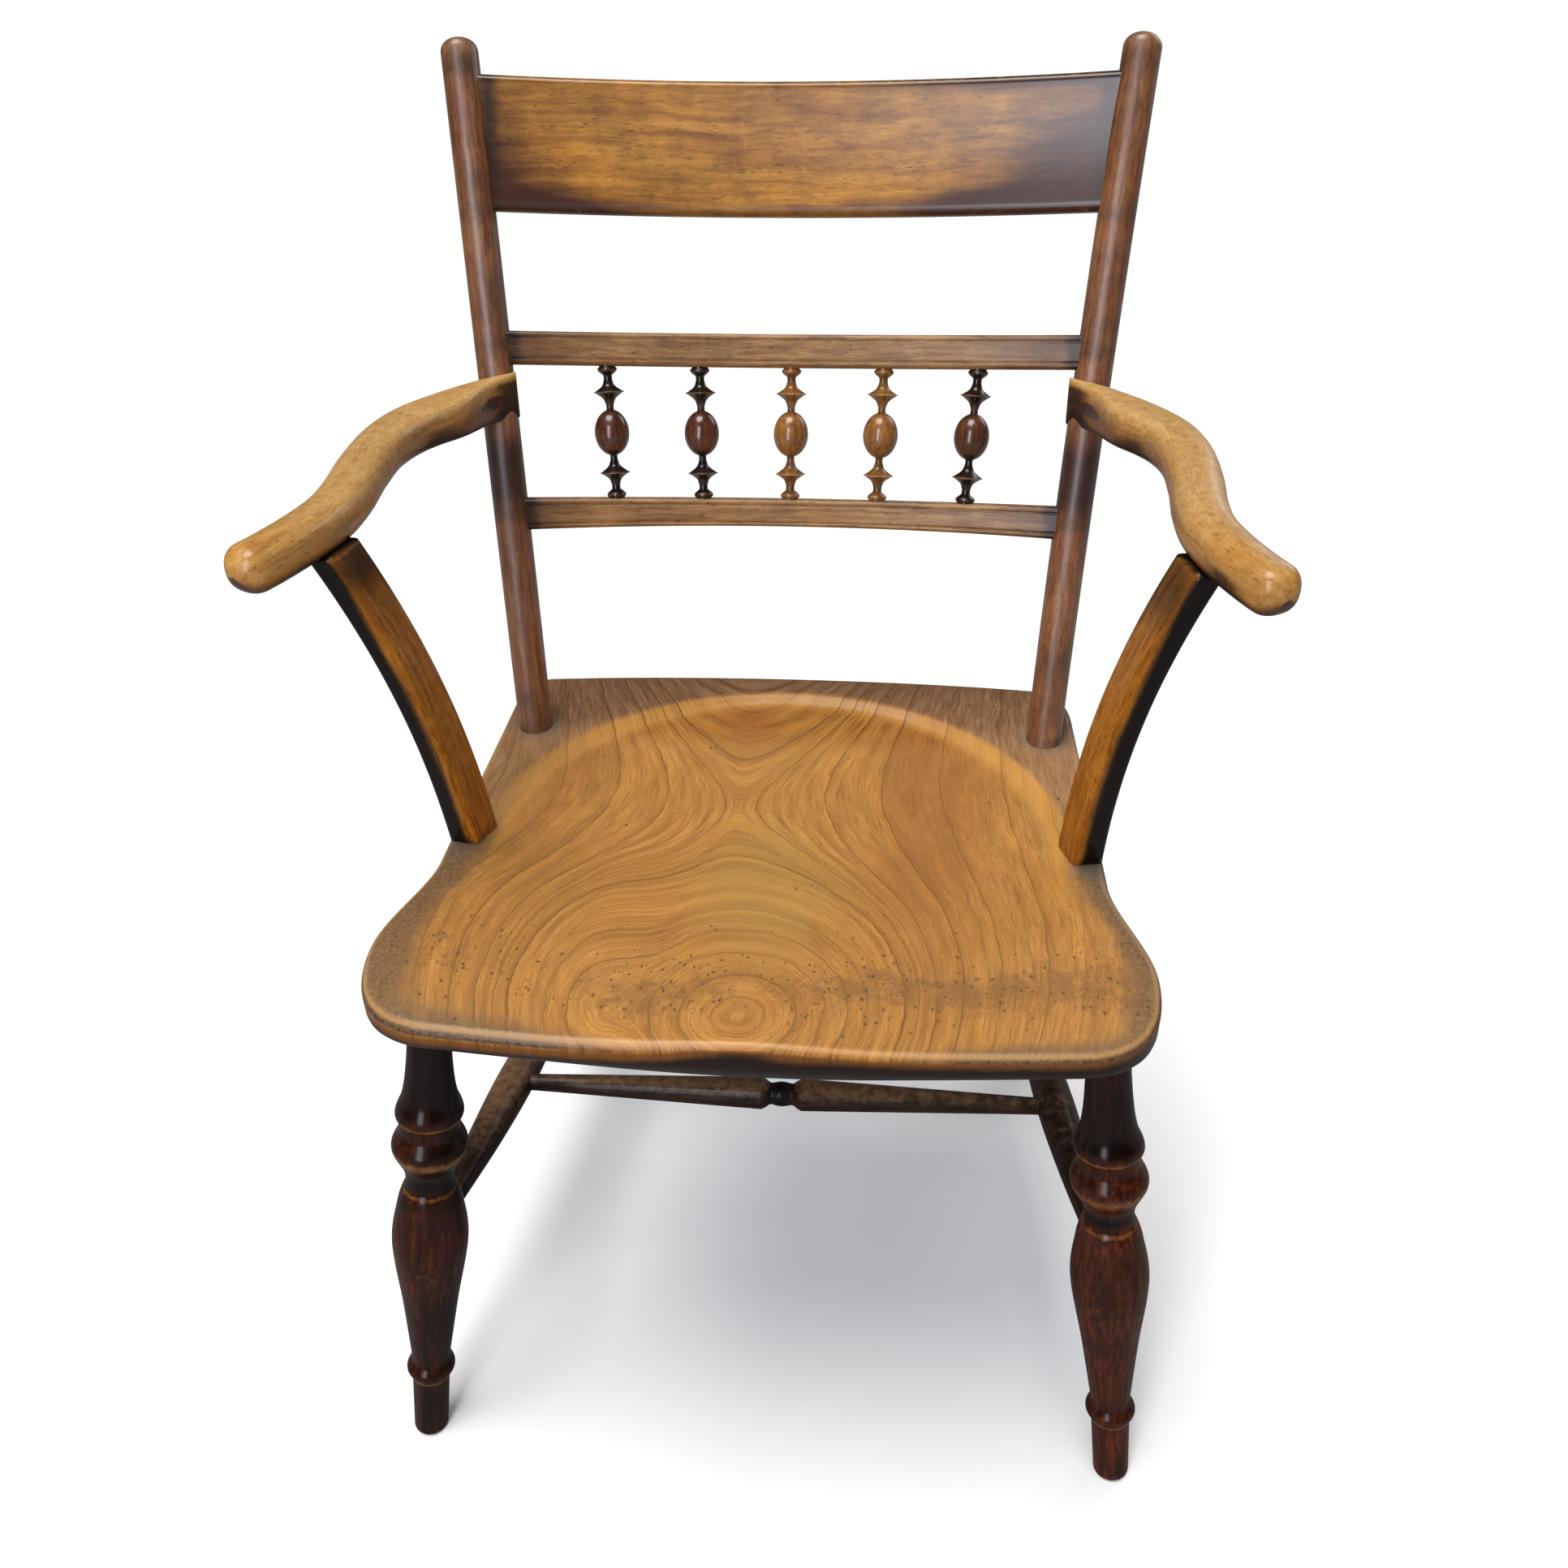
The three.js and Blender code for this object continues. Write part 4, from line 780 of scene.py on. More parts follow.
def seat_fields(x, y, z, inset):
    """What the elm's material reads at each point, with y as the distance back from the front edge."""
    top = seat_top(x, y)
    is_top = z > top - EDGE_ROUND
    inside = ridge_inside(x, y)
    has_ridge = smoothstep(*RIDGE_FADE, y)
    # A painted highlight on the ridge's inner slope, the lip
    lip_highlight = smoothstep(0.0, 0.02, inside) * (1 - smoothstep(0.05, 0.11, inside)) * has_ridge
    fields = {"ledge": (1 - smoothstep(0.0, 0.022, inside)) * has_ridge, "lip": lip_highlight * is_top}
    # Painted shade: below the rim the edge darkens downwards, sooner on the left half and in the middle
    edge_share = (top - z) / SEAT_THICKNESS
    early = 0.16 * smoothstep(*EARLY_DARK_LEFT, x) + bells(x, EARLY_DARK_MIDDLE)
    fields["under"] = smoothstep(0.05, 0.62, edge_share + early * smoothstep(0.06, 0.16, edge_share))
    is_rear = smoothstep(0.75 * SEAT_DEPTH, 0.85 * SEAT_DEPTH, y)
    # A painted highlight along the rim, except at the back
    fields["rim"] = bell(edge_share, 0.03, 0.028) * (1 - is_rear)
    y_in_frame = y + SEAT_FRONT
    dust = np.zeros_like(x)
    for _, side in SIDES:
        for axis, heap in ((post_axis, POST_DUST), (support_axis, SUPPORT_DUST)):
            strength, outwards, back, half_size = heap
            foot_x, foot_y, _ = axis(side, np.zeros(1))[0]
            middle = (foot_x + side * outwards, foot_y + back)
            dust += strength * blob(x, y_in_frame, middle, (half_size, half_size))
    fields["dust"] = np.clip(dust, 0, 1) * is_top
    fields["ring"] = elm_rings(x, y_in_frame)
    step = 1.0
    slope_x = elm_rings(x + step, y_in_frame) - elm_rings(x - step, y_in_frame)
    slope_y = elm_rings(x, y_in_frame + step) - elm_rings(x, y_in_frame - step)
    fields["pace"] = np.maximum(LEAST_PACE, np.hypot(slope_x, slope_y) / (2 * step))
    for name, patches in SEAT_PATCHES.items():
        total = sum(strength * blob(x, y_in_frame, *patch) for strength, *patch in patches)
        fields[name] = np.clip(total, 0, 1) * is_top
    # Patina comes in from the edge of the front half, widest at the sitter's right
    front_half = 1 - smoothstep(0.45 * SEAT_DEPTH, 0.62 * SEAT_DEPTH, y)
    off_middle = np.abs(x)
    reach = np.where(x < 0, PATINA_REACH_RIGHT, PATINA_REACH_LEFT)
    reach = reach * (0.35 + 0.65 * smoothstep(*PATINA_WIDENS, off_middle))
    by_edge = np.clip(1 - inset / reach, 0, 1) * front_half * smoothstep(*PATINA_GROWS, off_middle)
    fields["patina"] = np.clip(fields["patina"] * 0.6 + 0.95 * by_edge, 0, 1) * is_top
    return fields


def make_seat(material):
    grid, inset = seat_rings()
    fields = seat_fields(*np.moveaxis(grid, 2, 0), inset)
    grid[..., 1] += SEAT_FRONT
    make_piece("seat_board", grid, grid, material, "elm_seat", "seat", **fields)


# Legs and stretchers

def leg_line(side, leg):
    top = np.array([side * leg["top_x"], SEAT_FRONT + leg["top_y"], SEAT_UNDERSIDE])
    foot = top + [side * leg["splay"], leg["rake"], -SEAT_UNDERSIDE]
    return foot, top


def leg_profile(length):
    """From the foot up: tapered foot, ankle bead, long bulb, neck, ring, cup and a thigh that tapers fast."""
    calf = lerp(LEG_SHIN, LEG_BULB, LEG_CALF_SHARE)
    knee = (LEG_BULB + LEG_SHOULDER) / 2
    ankle_share = 0.128
    parts = [
        ([ankle_share, 0.147, 0.166], [LEG_FOOT_TOP, LEG_ANKLE, LEG_FOOT_TOP]),
        ([0.17, 0.3, 0.435, 0.515, 0.55], [LEG_SHIN, calf, LEG_BULB, knee, LEG_SHOULDER]),
        ([0.556, 0.578, 0.6], [LEG_NECK, LEG_NECK, LEG_SHOULDER]),
        ([0.606, 0.638, 0.67], [LEG_NOTCH, LEG_RING, LEG_NOTCH]),
        ([0.688, 0.7, 0.712], [LEG_NOTCH, LEG_CUP, LEG_CUP_TOP]),
        ([0.712, 0.74, 0.79, 0.87, 1.0], [LEG_CUP_TOP, LEG_THIGH_LOW, LEG_THIGH, LEG_THIGH_TOP, LEG_TOP])]
    runs = [[(0, LEG_FOOT - LEG_FOOT_EASE), (LEG_FOOT_EASE, LEG_FOOT)],
            [(LEG_FOOT_EASE, LEG_FOOT), (ankle_share * length, LEG_FOOT_TOP)]]
    for shares, radii in parts:
        runs.append([(share * length, radius) for share, radius in zip(shares, radii)])
    runs.append([(length, LEG_TOP), (length + OVERRUN / 2, LEG_TOP)])
    return turning_profile(runs, spacing=1.0, softness=2)


def make_leg(end, name, side, leg, material, offset):
    """Rubbed golden-brown on the ring, the cup's lip and under the ankle; the sitter's left is redder."""
    foot, top = leg_line(side, leg)
    length = np.linalg.norm(top - foot)
    profile = leg_profile(length)
    grid, wood = turned(foot, top, profile, count=64)
    grid[..., 2] = np.maximum(grid[..., 2], 0)
    share = profile[:, 0] / length
    _, sunk = proud_and_sunk(profile, half=9, depth=3.5)
    rubbed = bells(share, *LEG_RUBBED_SHARES) + 0.3 * (1 - smoothstep(0, 0.1, share))
    # Painted shade: the thigh, under the seat, is darkened towards black
    shade_under_seat = 0.7 * smoothstep(0.69, 0.72, share)
    shade = np.maximum(shade_under_seat, LEG_BULB_DARK[name] * (1 - 0.5 * bell(share, 0.43, 0.08)))
    grime = np.clip(1.1 * sunk + 0.7 * bell(share, 0.578, 0.016), 0, 1)
    node = f"{end}_leg_{name}"
    make_piece(f"{node}_turned", grid, wood + offset, material, "dark_leg", node,
               wear=np.clip(rubbed, 0, 0.8), grime=grime, shade=shade)


def stretcher_ends(side):
    """Where a side stretcher meets the axes of its two legs."""
    return (lerp(*leg_line(side, FRONT_LEG), FRONT_STRETCHER_SHARE),
            lerp(*leg_line(side, REAR_LEG), REAR_STRETCHER_SHARE))


def make_side_stretcher(name, side, material, offset):
    """Thickest in the middle, dark at its ends and rubbed along its top, more so at the sitter's right."""
    front, rear = stretcher_ends(side)
    length = np.linalg.norm(rear - front)
    straight = LEG_BULB + OVERRUN
    quarter = (straight + length / 2) / 2
    half = [(straight / 2, STRETCHER_END), (straight, STRETCHER_END),
            (quarter, lerp(STRETCHER_END, STRETCHER_MIDDLE, STRETCHER_SWELL_SHARE)),
            (length / 2, STRETCHER_MIDDLE)]
    mirrored = [(length - height, radius) for height, radius in half[-2::-1]]
    profile = turning_profile([half + mirrored], spacing=2.0, softness=1)
    grid, wood = turned(front, rear, profile, count=48)
    upward = upward_side(grid, STRETCHER_MIDDLE, low=-0.2, high=0.9)
    along = np.sin(np.linspace(0, math.pi, len(profile)))[:, None]
    wear = along * (0.2 + (0.5 if side < 0 else 0.25) * upward)
    to_end = np.minimum(profile[:, 0], length - profile[:, 0])
    grime = 1 - smoothstep(*STRETCHER_DARK_END, to_end)
    node = f"side_stretcher_{name}"
    make_piece(f"{node}_turned", grid, wood + offset, material, "worn_stretcher", node,
               wear=wear, grime=grime, shade=0.35 * (side > 0))


def make_cross_stretcher(material, offset):
    """Two swells that meet at a dark bead in the middle."""
    left, right = (sum(stretcher_ends(side)) / 2 for _, side in SIDES)
    length = np.linalg.norm(left - right)
    middle, neck = length / 2, CROSS_BEAD_HALF_WIDTH
    straight = STRETCHER_MIDDLE + OVERRUN
    from_middle = [(middle - CROSS_END_SETBACK, CROSS_END), (middle - straight, CROSS_END),
                   (CROSS_SWELL_SETBACK, CROSS_SWELL), (neck + CROSS_SHOULDER_RUN, CROSS_SWELL),
                   (neck, CROSS_NECK)]
    first = [(middle - distance, radius) for distance, radius in from_middle]
    second = [(middle + distance, radius) for distance, radius in from_middle[::-1]]
    bead = [(middle - neck, CROSS_NECK), (middle, CROSS_BEAD), (middle + neck, CROSS_NECK)]
    profile = turning_profile([first, bead, second], spacing=1.2, softness=2)
    grid, wood = turned(right, left, profile, count=40)
    _, sunk = proud_and_sunk(profile, half=8, depth=2.5)
    upward = upward_side(grid, CROSS_SWELL, low=0.0, high=0.9)
    at_bead = bell(profile[:, 0], middle, CROSS_BEAD_HALF_WIDTH)[:, None]
    make_piece("cross_stretcher_turned", grid, wood + offset, material, "worn_stretcher", "cross_stretcher",
               wear=np.clip(0.2 + 0.5 * upward - at_bead, 0, 1),
               grime=np.maximum(sunk[:, None], 0.7 * at_bead), shade=0.5 * at_bead + 0.15)


# Back

def post_axis(side, share):
    """A post's axis by its share of the rise from the seat, leaning and flaring faster as it climbs."""
    lean = LEAN_START_SHARE * share + (1 - LEAN_START_SHARE) * share**2
    flare = FLARE_START_SHARE * share + (1 - FLARE_START_SHARE) * share**2
    x = side * (REAR_WIDTH / 2 - POST_INSET + BACK_FLARE * flare)
    y = SEAT_FRONT + SEAT_DEPTH - POST_SET_IN + BACK_LEAN * lean
    return np.stack([x, y, SEAT_HEIGHT + BACK_RISE * share], axis=-1)


def make_post(name, side, material, offset):
    """Grey and rubbed at the top, golden patches at mid height, near black below the arm."""
    shares, left = domed_bar(-OVERRUN / 2 / BACK_RISE, POST_DOME / BACK_RISE, DOME_TRIM_SHARE,
                             steps=170, dome_steps=14, power=2.4, least=0.002)
    sections = (POST_RADIUS * left)[:, None, None] * round_section(48)
    grid = sweep(post_axis(side, shares), sections, SIDEWAYS)
    rise = shares * BACK_RISE
    crest_ends = [CREST_RISE - CREST_HEIGHT / 2, CREST_RISE + CREST_HEIGHT / 2]
    joints = [0, LOWER_RAIL_RISE, MIDDLE_RAIL_RISE, *crest_ends]
    grime = bells(rise, *((0.5, joint, JOINT_GRIME_HALF_WIDTH) for joint in joints))
    wear = 0.5 * smoothstep(BACK_RISE - POST_RUBBED_TOP, BACK_RISE, rise) + bells(rise, *POST_RUBBED)
    shade = bells(rise, POST_DARK) + 0.12
    node = f"back_post_{name}"
    make_piece(f"{node}_bent", grid, in_wood(sections, rise) + offset, material, "post_wood", node,
               wear=wear, grime=grime, shade=shade)


def rail_line(rise, count):
    """A rail's middle line, bowed back square to the posts, with the posts' tilt there."""
    step = 0.001
    share = rise / BACK_RISE
    below, end, above = post_axis(1, np.array([share - step, share, share + step]))
    tilt = unit((above - below) * [0, 1, 1])
    behind = np.array([0, tilt[2], -tilt[1]])
    x = np.linspace(-1, 1, count) * end[0]
    bow = RAIL_BOW * (1 - (x / end[0]) ** 2)
    return np.stack([x, np.full(count, end[1]), np.full(count, end[2])], axis=1) + bow[:, None] * behind, tilt


def make_rail(name, node, rise, size, material, offset, shade_of, groove_depth=0.0, hollow=0.0,
              arch_share=0.0):
    """A bar bowed back; its face may be hollowed from top to bottom, grooved near its edges, and its lower
    edge arched up in the middle by a share of half its height."""
    height, thickness, corner = size
    path, tilt = rail_line(rise, 180)
    section = box_section(height, thickness, corner, 128)
    up = section[:, 0] / (height / 2)
    is_face = section[:, 1] > thickness / 4
    section[:, 1] -= hollow * np.cos(up * math.pi / 2) * is_face
    groove = bell(np.abs(section[:, 0]), height / 2 - GROOVE_INSET, GROOVE_WIDTH) * is_face
    section[:, 1] -= groove_depth * groove
    sections = np.repeat(section[None], len(path), axis=0)
    x = path[:, 0][:, None]
    half_length = np.abs(x).max()
    sections[..., 0] *= 1 - arch_share * (1 - (x / half_length) ** 2) * (up < 0)
    grid = sweep(path, sections, tilt)
    to_post = half_length - np.abs(x)
    grime = 0.8 * bell(to_post, POST_RADIUS, RAIL_GRIME_HALF_WIDTH) * np.ones_like(up)
    if groove_depth:
        grime = grime + 0.35 * groove
    wear = 0.45 * smoothstep(0.8, 1.0, up) * np.ones_like(x) + 0.3 * smoothstep(0.8, 1.0, -up)
    make_piece(name, grid, in_wood(sections, path[:, 0]) + offset, material, "rail_wood", node,
               wear=wear, grime=np.clip(grime, 0, 1), shade=shade_of(x, up[None]))


def crest_shade(x, up):
    """Golden in the middle, dark at the ends, along the top on the left and in the lower corners. Up runs
    from -1 to 1."""
    ends = 0.3 * smoothstep(*CREST_RIGHT_STAIN, -x) + 0.45 * smoothstep(*CREST_LEFT_STAIN, x)
    past_reach = (np.abs(x - CREST_STAIN_MIDDLE) - CREST_STAIN_REACH) / CREST_STAIN_EASE
    low_corners = smoothstep(-1.6, 1.2, -up + past_reach) ** 2
    top_strip = 0.5 * smoothstep(0.72, 0.95, up) * (0.4 + 0.6 * smoothstep(*CREST_TOP_STAIN, x))
    foot_strip = 0.3 * smoothstep(0.5, 0.9, -up)
    return np.clip(ends + 0.75 * low_corners + top_strip + foot_strip, 0, 0.85)


def rail_shade(x, up):
    """Dark towards the posts."""
    return 0.6 * smoothstep(*RAIL_STAIN, np.abs(x)) * np.ones_like(up)


def make_rails(plain, golden):
    rail_size = (RAIL_HEIGHT, RAIL_THICKNESS, RAIL_CORNER)
    crest_size = (CREST_HEIGHT, CREST_THICKNESS, CREST_CORNER)
    make_rail("lower_rail_moulded", "lower_rail", LOWER_RAIL_RISE, rail_size, plain, 100, rail_shade,
              groove_depth=GROOVE_DEPTH, arch_share=LOWER_RAIL_ARCH_SHARE)
    make_rail("middle_rail_moulded", "middle_rail", MIDDLE_RAIL_RISE, rail_size, plain, 1300, rail_shade,
              groove_depth=GROOVE_DEPTH)
    make_rail("crest_rail_board", "crest_rail", CREST_RISE, crest_size, golden, 2100, crest_shade,
              hollow=CREST_HOLLOW)


def spindle_profile(length):
    """The same from both ends: collar, thin neck, sharp-rimmed disc, neck, and a long oval in the middle,
    which is half an ellipse."""
    between = length - 2 * SPINDLE_GAP

    def run(points):
        return [(SPINDLE_GAP + share * between, radius) for share, radius in points]

    half = [
        [(-SPINDLE_TENON, SPINDLE_TENON_RADIUS), (SPINDLE_GAP, SPINDLE_TENON_RADIUS)],
        run([(0, SPINDLE_COLLAR), (0.025, SPINDLE_COLLAR), (0.06, SPINDLE_NECK)]),
        run([(0.095, SPINDLE_NECK), (0.14, SPINDLE_SLOPE), (0.175, SPINDLE_RIM), (0.187, SPINDLE_DISC)]),
        run([(0.187, SPINDLE_DISC), (0.2, SPINDLE_RIM), (0.24, SPINDLE_BACK_SLOPE), (0.29, SPINDLE_WAIST)])]
    mirrored = [[(length - height, radius) for height, radius in part[::-1]] for part in half[::-1]]
    oval = run([
        (0.5 - SPINDLE_OVAL_SHARE * math.cos(angle), max(SPINDLE_WAIST, SPINDLE_BEAD * math.sin(angle)))
        for angle in np.linspace(0, math.pi, 25)])
    return turning_profile(half + [oval] + mirrored, spacing=0.5, softness=1)


def make_spindles(golden, dark):
    """Each leans a little outwards; the rims are rubbed, and what lies beyond the oval is darker."""
    rails = [(rail_line(rise, 801)[0], pitch) for rise, pitch in
             ((LOWER_RAIL_RISE, SPINDLE_PITCH_LOW), (MIDDLE_RAIL_RISE, SPINDLE_PITCH_HIGH))]
    for number in range(1, SPINDLE_COUNT + 1):
        order = number - (SPINDLE_COUNT + 1) / 2
        low, high = (read_at(order * pitch, line[:, 0], line) for line, pitch in rails)
        along = unit(high - low)
        start, end = low + along * RAIL_HEIGHT / 2, high - along * RAIL_HEIGHT / 2
        profile = spindle_profile(np.linalg.norm(end - start))
        grid, wood = turned(start, end, profile, count=44)
        proud, sunk = proud_and_sunk(profile, half=12, depth=2.2)
        off_middle = np.abs(profile[:, 0] / np.ptp(profile[:, 0]) - 0.5)
        is_golden = number in GOLDEN_SPINDLES
        darkest = 0.3 if is_golden else 0.85
        shade = darkest * np.maximum(smoothstep(0.13, 0.19, off_middle), smoothstep(0.1, 0.9, sunk))
        make_piece(f"spindle_{number}_turned", grid, wood + 170 * (number - 1), golden if is_golden else dark,
                   "golden_spindle" if is_golden else "dark_spindle", f"spindle_{number}",
                   wear=np.clip(proud * 0.6 + 0.1, 0, 1), grime=sunk, shade=shade)


# Arms

def arm_path(side, count):
    """The arm's middle line from the post to the tip, bowed out, risen and turned down at the hand."""
    post = post_axis(1, np.array([(ARM_MIDDLE - SEAT_HEIGHT) / BACK_RISE]))[0]
    reach, out = ARM_PLAN_SHARES.T
    bend = ARM_BEND_IN * bell(reach, *ARM_BEND_SHARES)
    x = side * (post[0] - ARM_INNER_END + ARM_OUTSET * out - bend)
    y = post[1] - POST_RADIUS - ARM_WIDTH / 2 + ARM_LAP - ARM_REACH * reach
    turn_down = ARM_DROP * np.maximum(0, (reach - HAND_SHARE) / (1 - HAND_SHARE)) ** 2
    z = ARM_MIDDLE + ARM_RISE * reach - turn_down
    return evenly_along(catmull_rom(np.stack([x, y, z], axis=1), power=0.5, steps=60), count)


def cut_depth(distance):
    """What the slanting cut leaves of the arm's width: it grows evenly, then eases to the full width."""
    run = distance / ARM_CUT_RUN
    ease = 1 - (1 + CUT_EASE_SHARE - run) ** 2 / (4 * CUT_EASE_SHARE)
    grown = np.where(run < 1 - CUT_EASE_SHARE, run, np.where(run < 1 + CUT_EASE_SHARE, ease, 1.0))
    return lerp(ARM_EDGE_SHARE, 1, grown)


def cut_face_y(side, x):
    """How far back the middle of the slanting cut lies at each x."""
    path = arm_path(side, 1001)
    along = unit(np.gradient(path, axis=0))
    distance = np.linspace(0, lengths_along(path)[-1], len(path))
    forward = side * unit(np.cross(along, UP))
    edge = path + forward * (ARM_WIDTH * (cut_depth(distance) - 0.5))[:, None]
    near = distance < 2 * ARM_CUT_RUN
    return np.interp(side * x, side * edge[near, 0], edge[near, 1])


def arm_fields(name, distance, place, front, up):
    """Stained end, painted shade along the underside, chips along the low front, a dark blotch at the hand,
    rubbed on top. Place is the share of the length, and front and up run from -1 to 1 across the section."""
    cut_face = smoothstep(0.2, 0.6, front) * (1 - smoothstep(0.6, 0.9, up))
    stained_end = (1 - smoothstep(*CUT_STAIN, distance)) * cut_face
    low_front = smoothstep(0.1, 0.7, front) * smoothstep(-0.5, 0.3, -up)
    blotches = bells(distance, ARM_CHIPS) + HAND_BLOTCH[name] * bell(place, *HAND_BLOTCH_SHARES)
    # Painted shade: the underside is darkened here in the grime and again in the shade below
    grime = 0.85 * stained_end + 0.75 * smoothstep(0.3, 0.9, -up) + blotches * low_front
    hand = smoothstep(0.72, 0.95, place)
    wear = 0.3 + 0.4 * smoothstep(0.0, 0.9, up) * (1 - 0.7 * hand)
    shade = 0.1 * hand + 0.75 * smoothstep(0.0, 0.8, -up) + 0.5 * low_front * (1 - place)
    shade = shade + 0.4 * (1 - smoothstep(*CUT_SHADE, distance)) * cut_face
    return {"wear": wear * (1 - stained_end), "grime": np.clip(grime, 0, 1), "shade": np.clip(shade, 0, 1)}


def make_arm(name, side, material, offset):
    """A bar with soft edges, boxy at the post and round at the hand, cut slanting to an edge at the post."""
    dense = arm_path(side, 2001)
    length = lengths_along(dense)[-1]
    shares, left = domed_bar(0, ARM_TIP_ROUND / length, 1, steps=220, dome_steps=22, power=2.2, least=0.003)
    path = read_at(shares, np.linspace(0, 1, len(dense)), dense)
    shrink = left * ARM_TRIM_SHARE
    width = lerp(ARM_WIDTH, ARM_TIP_WIDTH, shares**2) * shrink
    post_end = np.maximum(0, 1 - shares / ARM_POST_SHARE) ** 2
    thickness = lerp(ARM_THICKNESS, ARM_POST_THICKNESS, post_end) * shrink
    powers = 5.0 - 2.5 * smoothstep(0.05, 0.45, shares)
    unit_sections = np.array([cushion_section(power, 64) for power in powers])
    sections = unit_sections * np.stack([thickness, width], axis=1)[:, None]
    # The slanting cut: the back edge stays, and the front comes back to it towards the post
    distances = shares * length
    half_width = width[:, None] / 2
    forward = side * sections[..., 1]
    sections[..., 1] = side * ((forward + half_width) * cut_depth(distances)[:, None] - half_width)
    up, front = np.moveaxis(unit_sections * [2, 2 * side], 2, 0)
    node = f"arm_{name}"
    make_piece(f"{node}_shaped", sweep(path, sections, UP), in_wood(sections, distances) + offset, material,
               "pale_arm", node, **arm_fields(name, distances[:, None], shares[:, None], front, up))


def support_axis(side, share):
    """From its foot in the seat to the middle of the arm, sweeping outwards late in its rise."""
    dense = arm_path(side, 1001)
    head = read_at(SUPPORT_ARM_SHARE, np.linspace(0, 1, len(dense)), dense)
    head[0] -= side * SUPPORT_HEAD_INSET
    foot = np.array([side * (WAIST_WIDTH / 2 - SUPPORT_INSET), SEAT_FRONT + SUPPORT_SETBACK, SEAT_HEIGHT])
    axis = lerp(foot, head, share[:, None])
    axis[:, 0] = lerp(foot[0], head[0], np.maximum(0, share) ** SUPPORT_CURVE_POWER)
    return axis


def make_support(name, side, material, offset):
    """A bar that turns as it rises, near black outside and over most of the front, golden inside, and dark
    again at both ends."""
    shares = np.linspace(-OVERRUN / ARM_HEIGHT, 1, 110)
    path = support_axis(side, shares)
    sizes = lerp(SUPPORT_FOOT, SUPPORT_HEAD, shares[:, None])
    sections = np.array([box_section(width, depth, SUPPORT_CORNER, 72) for width, depth in sizes])
    turn = side * lerp(SUPPORT_FOOT_TURN, SUPPORT_HEAD_TURN, shares)[:, None]
    across, back = np.moveaxis(sections, 2, 0)
    laid = np.stack([
        across * np.cos(turn) - back * np.sin(turn), across * np.sin(turn) + back * np.cos(turn)], axis=-1)
    grid = sweep(path, laid, SIDEWAYS)
    # Cut level: along each edge of the sweep, even steps of height up to the underside of the arm
    top = path[-1, 2] - ARM_THICKNESS / 2 + SUPPORT_HEAD_LAP
    for column in range(grid.shape[1]):
        heights = np.linspace(grid[0, column, 2], top, len(grid))
        grid[:, column] = read_at(heights, grid[:, column, 2], grid[:, column])
    rises = shares * ARM_HEIGHT
    rise = rises[:, None]
    outwards = side * across / (sizes[:, :1] / 2)
    forwards = -back / (sizes[:, 1:] / 2)
    front = smoothstep(0.6, 0.95, forwards)
    black = np.maximum(smoothstep(0.5, 0.95, outwards), smoothstep(-1.0, 0.2, outwards) * front)
    black = np.maximum(black, 0.6 * smoothstep(0.7, 0.97, -forwards))
    head = bell(rise, *SUPPORT_HEAD_DARK[name])
    ends = bells(rise, SUPPORT_FOOT_DARK) + 0.5 * head
    wear = (0.2 + bells(rise, SUPPORT_RUBBED)) * (1 - black) * (1 - head)
    make_piece(f"support_{name}_curved", grid, in_wood(sections, rises) + offset, material, "support_wood",
               f"arm_support_{name}", wear=wear, grime=np.clip(0.8 * black + 0.6 * ends, 0, 1),
               shade=np.clip(0.9 * black + 0.6 * head, 0, 1))


def make_peg(name, side, material, offset):
    """A plug with a worn dome, cut off slanting with the face of the arm."""
    node = f"arm_peg_{name}"
    low, high = (np.array(corner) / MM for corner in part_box(node))
    middle_x, _, middle_z = (low + high) / 2
    front_y, back_y = cut_face_y(side, middle_x) - PEG_PROUD, high[1]
    length = back_y - front_y
    runs = [[(0, PEG_RADIUS * 0.55), (PEG_DOME_RISE, PEG_RADIUS * 0.9), (PEG_DOME_END, PEG_RADIUS)],
            [(PEG_DOME_END, PEG_RADIUS), (length, PEG_RADIUS)]]
    front, back = (np.array([middle_x, y, middle_z]) for y in (front_y, back_y))
    grid, wood = turned(front, back, turning_profile(runs, spacing=0.5, softness=1), count=32)
    slant = cut_face_y(side, grid[..., 0]) - cut_face_y(side, middle_x)
    grid[..., 1] += slant * (1 - np.clip((grid[..., 1] - front_y) / (length / 2), 0, 1))
    make_piece(f"peg_{name}_plug", grid, wood + offset, material, "dark_spindle", node,
               wear=0.2, grime=0.45, shade=0.0)


# Studio

def link_light(name, kind, place, toward, **settings):
    lamp = bpy.data.lights.new(name, kind)
    for key, value in settings.items():
        setattr(lamp, key, value)
    holder = bpy.data.objects.new(name, lamp)
    holder.location = place
    holder.rotation_mode = "QUATERNION"
    holder.rotation_quaternion = Vector(toward).to_track_quat("-Z", "Y")
    bpy.context.scene.collection.objects.link(holder)


def make_lights():
    """A broad key almost overhead, two cool windows in front at the sitter's right, a weak lamp behind."""
    link_light("key", "SUN", (-1.0, -0.5, 4.0), KEY_TOWARD, energy=KEY_STRENGTH, angle=KEY_ANGLE,
               color=linear("#fffdfa")[:3])
    for name, (place, target, size, power, colour) in AREA_LAMPS.items():
        link_light(name, "AREA", place, np.array(target) - np.array(place), shape="RECTANGLE", size=size[0],
                   size_y=size[1], energy=power, color=linear(colour)[:3])


def seen_straight(add, path):
    """1 on the rays of the camera and on those through glass, 0 on the rest."""
    outputs = path.node.outputs
    return add("Math", {0: outputs["Is Camera Ray"], 1: outputs["Is Transmission Ray"]}, operation="MAXIMUM")


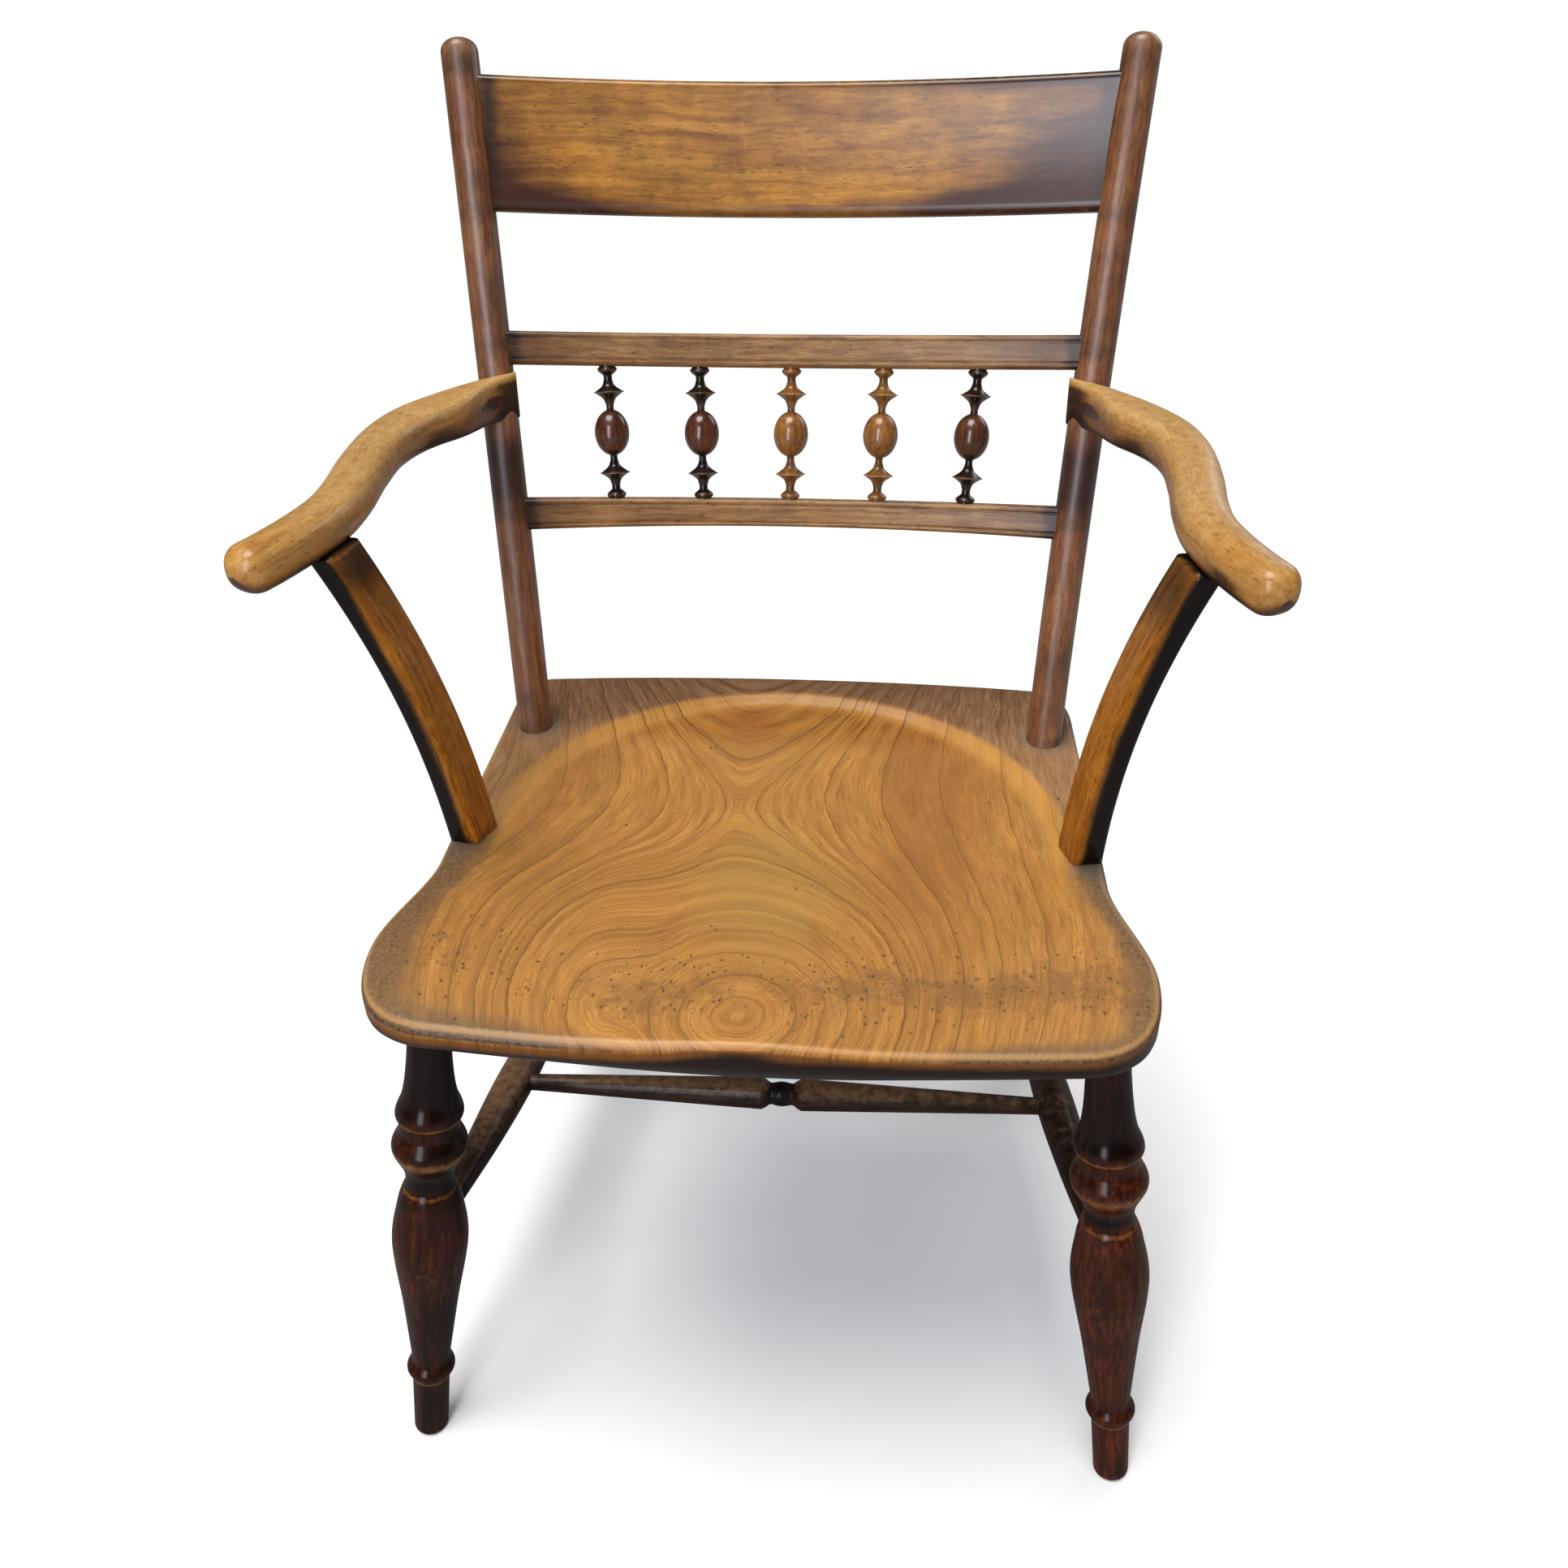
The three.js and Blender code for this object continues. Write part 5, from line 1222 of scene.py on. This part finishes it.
def make_floor():
    """White paper for the camera, and dimmer for the light that reaches the chair."""
    material = bpy.data.materials.new("studio_paper")
    add = adder(material)
    glossy = add("LightPath", output="Is Glossy Ray")
    dimmed = add("Math", {0: glossy, 1: GLOSSY_SHARE}, operation="MULTIPLY")
    seen = add("Math", {0: seen_straight(add, glossy), 1: dimmed}, operation="MAXIMUM")
    grey = add("BsdfDiffuse", {"Color": "#8f8d8a"})
    paper = add("BsdfDiffuse", {"Color": "#ffffff"})
    glow = add("Emission", {"Color": "#ffffff", "Strength": PAPER_GLOW})
    lifted = add("AddShader", {0: paper, 1: glow})
    add("OutputMaterial", {"Surface": add("MixShader", {0: seen, 1: grey, 2: lifted})})
    corners = [(x * FLOOR_REACH, y * FLOOR_REACH, 0) for x, y in ((-1, -1), (1, -1), (1, 1), (-1, 1))]
    mesh = bpy.data.meshes.new("studio_floor")
    mesh.from_pydata(corners, [], [(0, 1, 2, 3)])
    mesh.materials.append(material)
    floor = bpy.data.objects.new("studio_floor", mesh)
    bpy.context.scene.collection.objects.link(floor)


def make_surround():
    """White for the camera, dimmer for the light that reaches the chair and dimmest for its gloss."""
    world = bpy.data.worlds.new("studio_surround")
    add = adder(world)
    glossy = add("LightPath", output="Is Glossy Ray")
    shares = add("Mix", {0: glossy, 2: SURROUND, 3: GLOSSY_SHARE}, data_type="FLOAT")
    strength = add("Mix", {0: seen_straight(add, glossy), 2: shares, 3: 1.0}, data_type="FLOAT")
    add("OutputWorld", {"Surface": add("Background", {"Color": "#ffffff", "Strength": strength})})
    bpy.context.scene.world = world


def make_camera():
    camera = bpy.data.cameras.new("photo_camera")
    camera.sensor_width = 36
    camera.lens = camera.sensor_width * FOCAL_PIXELS / PHOTO_SIDE
    camera.shift_x = 0.5 - AXIS_PIXEL[0] / PHOTO_SIDE
    camera.shift_y = AXIS_PIXEL[1] / PHOTO_SIDE - 0.5
    level = math.cos(CAMERA_PITCH)
    forward = np.array([math.sin(CAMERA_YAW) * level, math.cos(CAMERA_YAW) * level, -math.sin(CAMERA_PITCH)])
    right = np.array([math.cos(CAMERA_YAW), -math.sin(CAMERA_YAW), 0.0])
    above = np.cross(right, forward)
    matrix = np.eye(4)
    matrix[:3, 0] = math.cos(CAMERA_ROLL) * right + math.sin(CAMERA_ROLL) * above
    matrix[:3, 1] = -math.sin(CAMERA_ROLL) * right + math.cos(CAMERA_ROLL) * above
    matrix[:3, 2] = -forward
    matrix[:3, 3] = CAMERA_PLACE
    holder = bpy.data.objects.new("photo_camera", camera)
    holder.matrix_world = Matrix(matrix.tolist())
    bpy.context.scene.collection.objects.link(holder)
    bpy.context.scene.camera = holder


def main():
    """The offset of each piece, mm, takes it to another part of the log, so that no two look alike."""
    woods = {use: stained_beech(**settings) for use, settings in STAINED_WOODS.items()}
    make_seat(saddled_elm())
    for number, (name, side) in enumerate(SIDES):
        make_leg("front", name, side, FRONT_LEG, woods["leg"], 500 * number)
        make_leg("rear", name, side, REAR_LEG, woods["leg"], 500 * number + 1500)
        make_post(name, side, woods["post"], 700 * number)
        make_arm(name, side, woods["arm"], 600 * number)
        make_support(name, side, woods["support"], 800 * number)
        make_peg(name, side, woods["dark"], 40 * side)
    for number, (name, side) in enumerate(SIDES):
        make_side_stretcher(name, side, woods["stretcher"], 900 * (number + 1))
    make_cross_stretcher(woods["stretcher"], 2900)
    make_rails(woods["rail"], woods["crest"])
    make_spindles(woods["golden"], woods["dark"])
    make_floor()
    make_surround()
    make_lights()
    make_camera()
    bpy.context.scene.view_settings.view_transform = "Standard"


main()
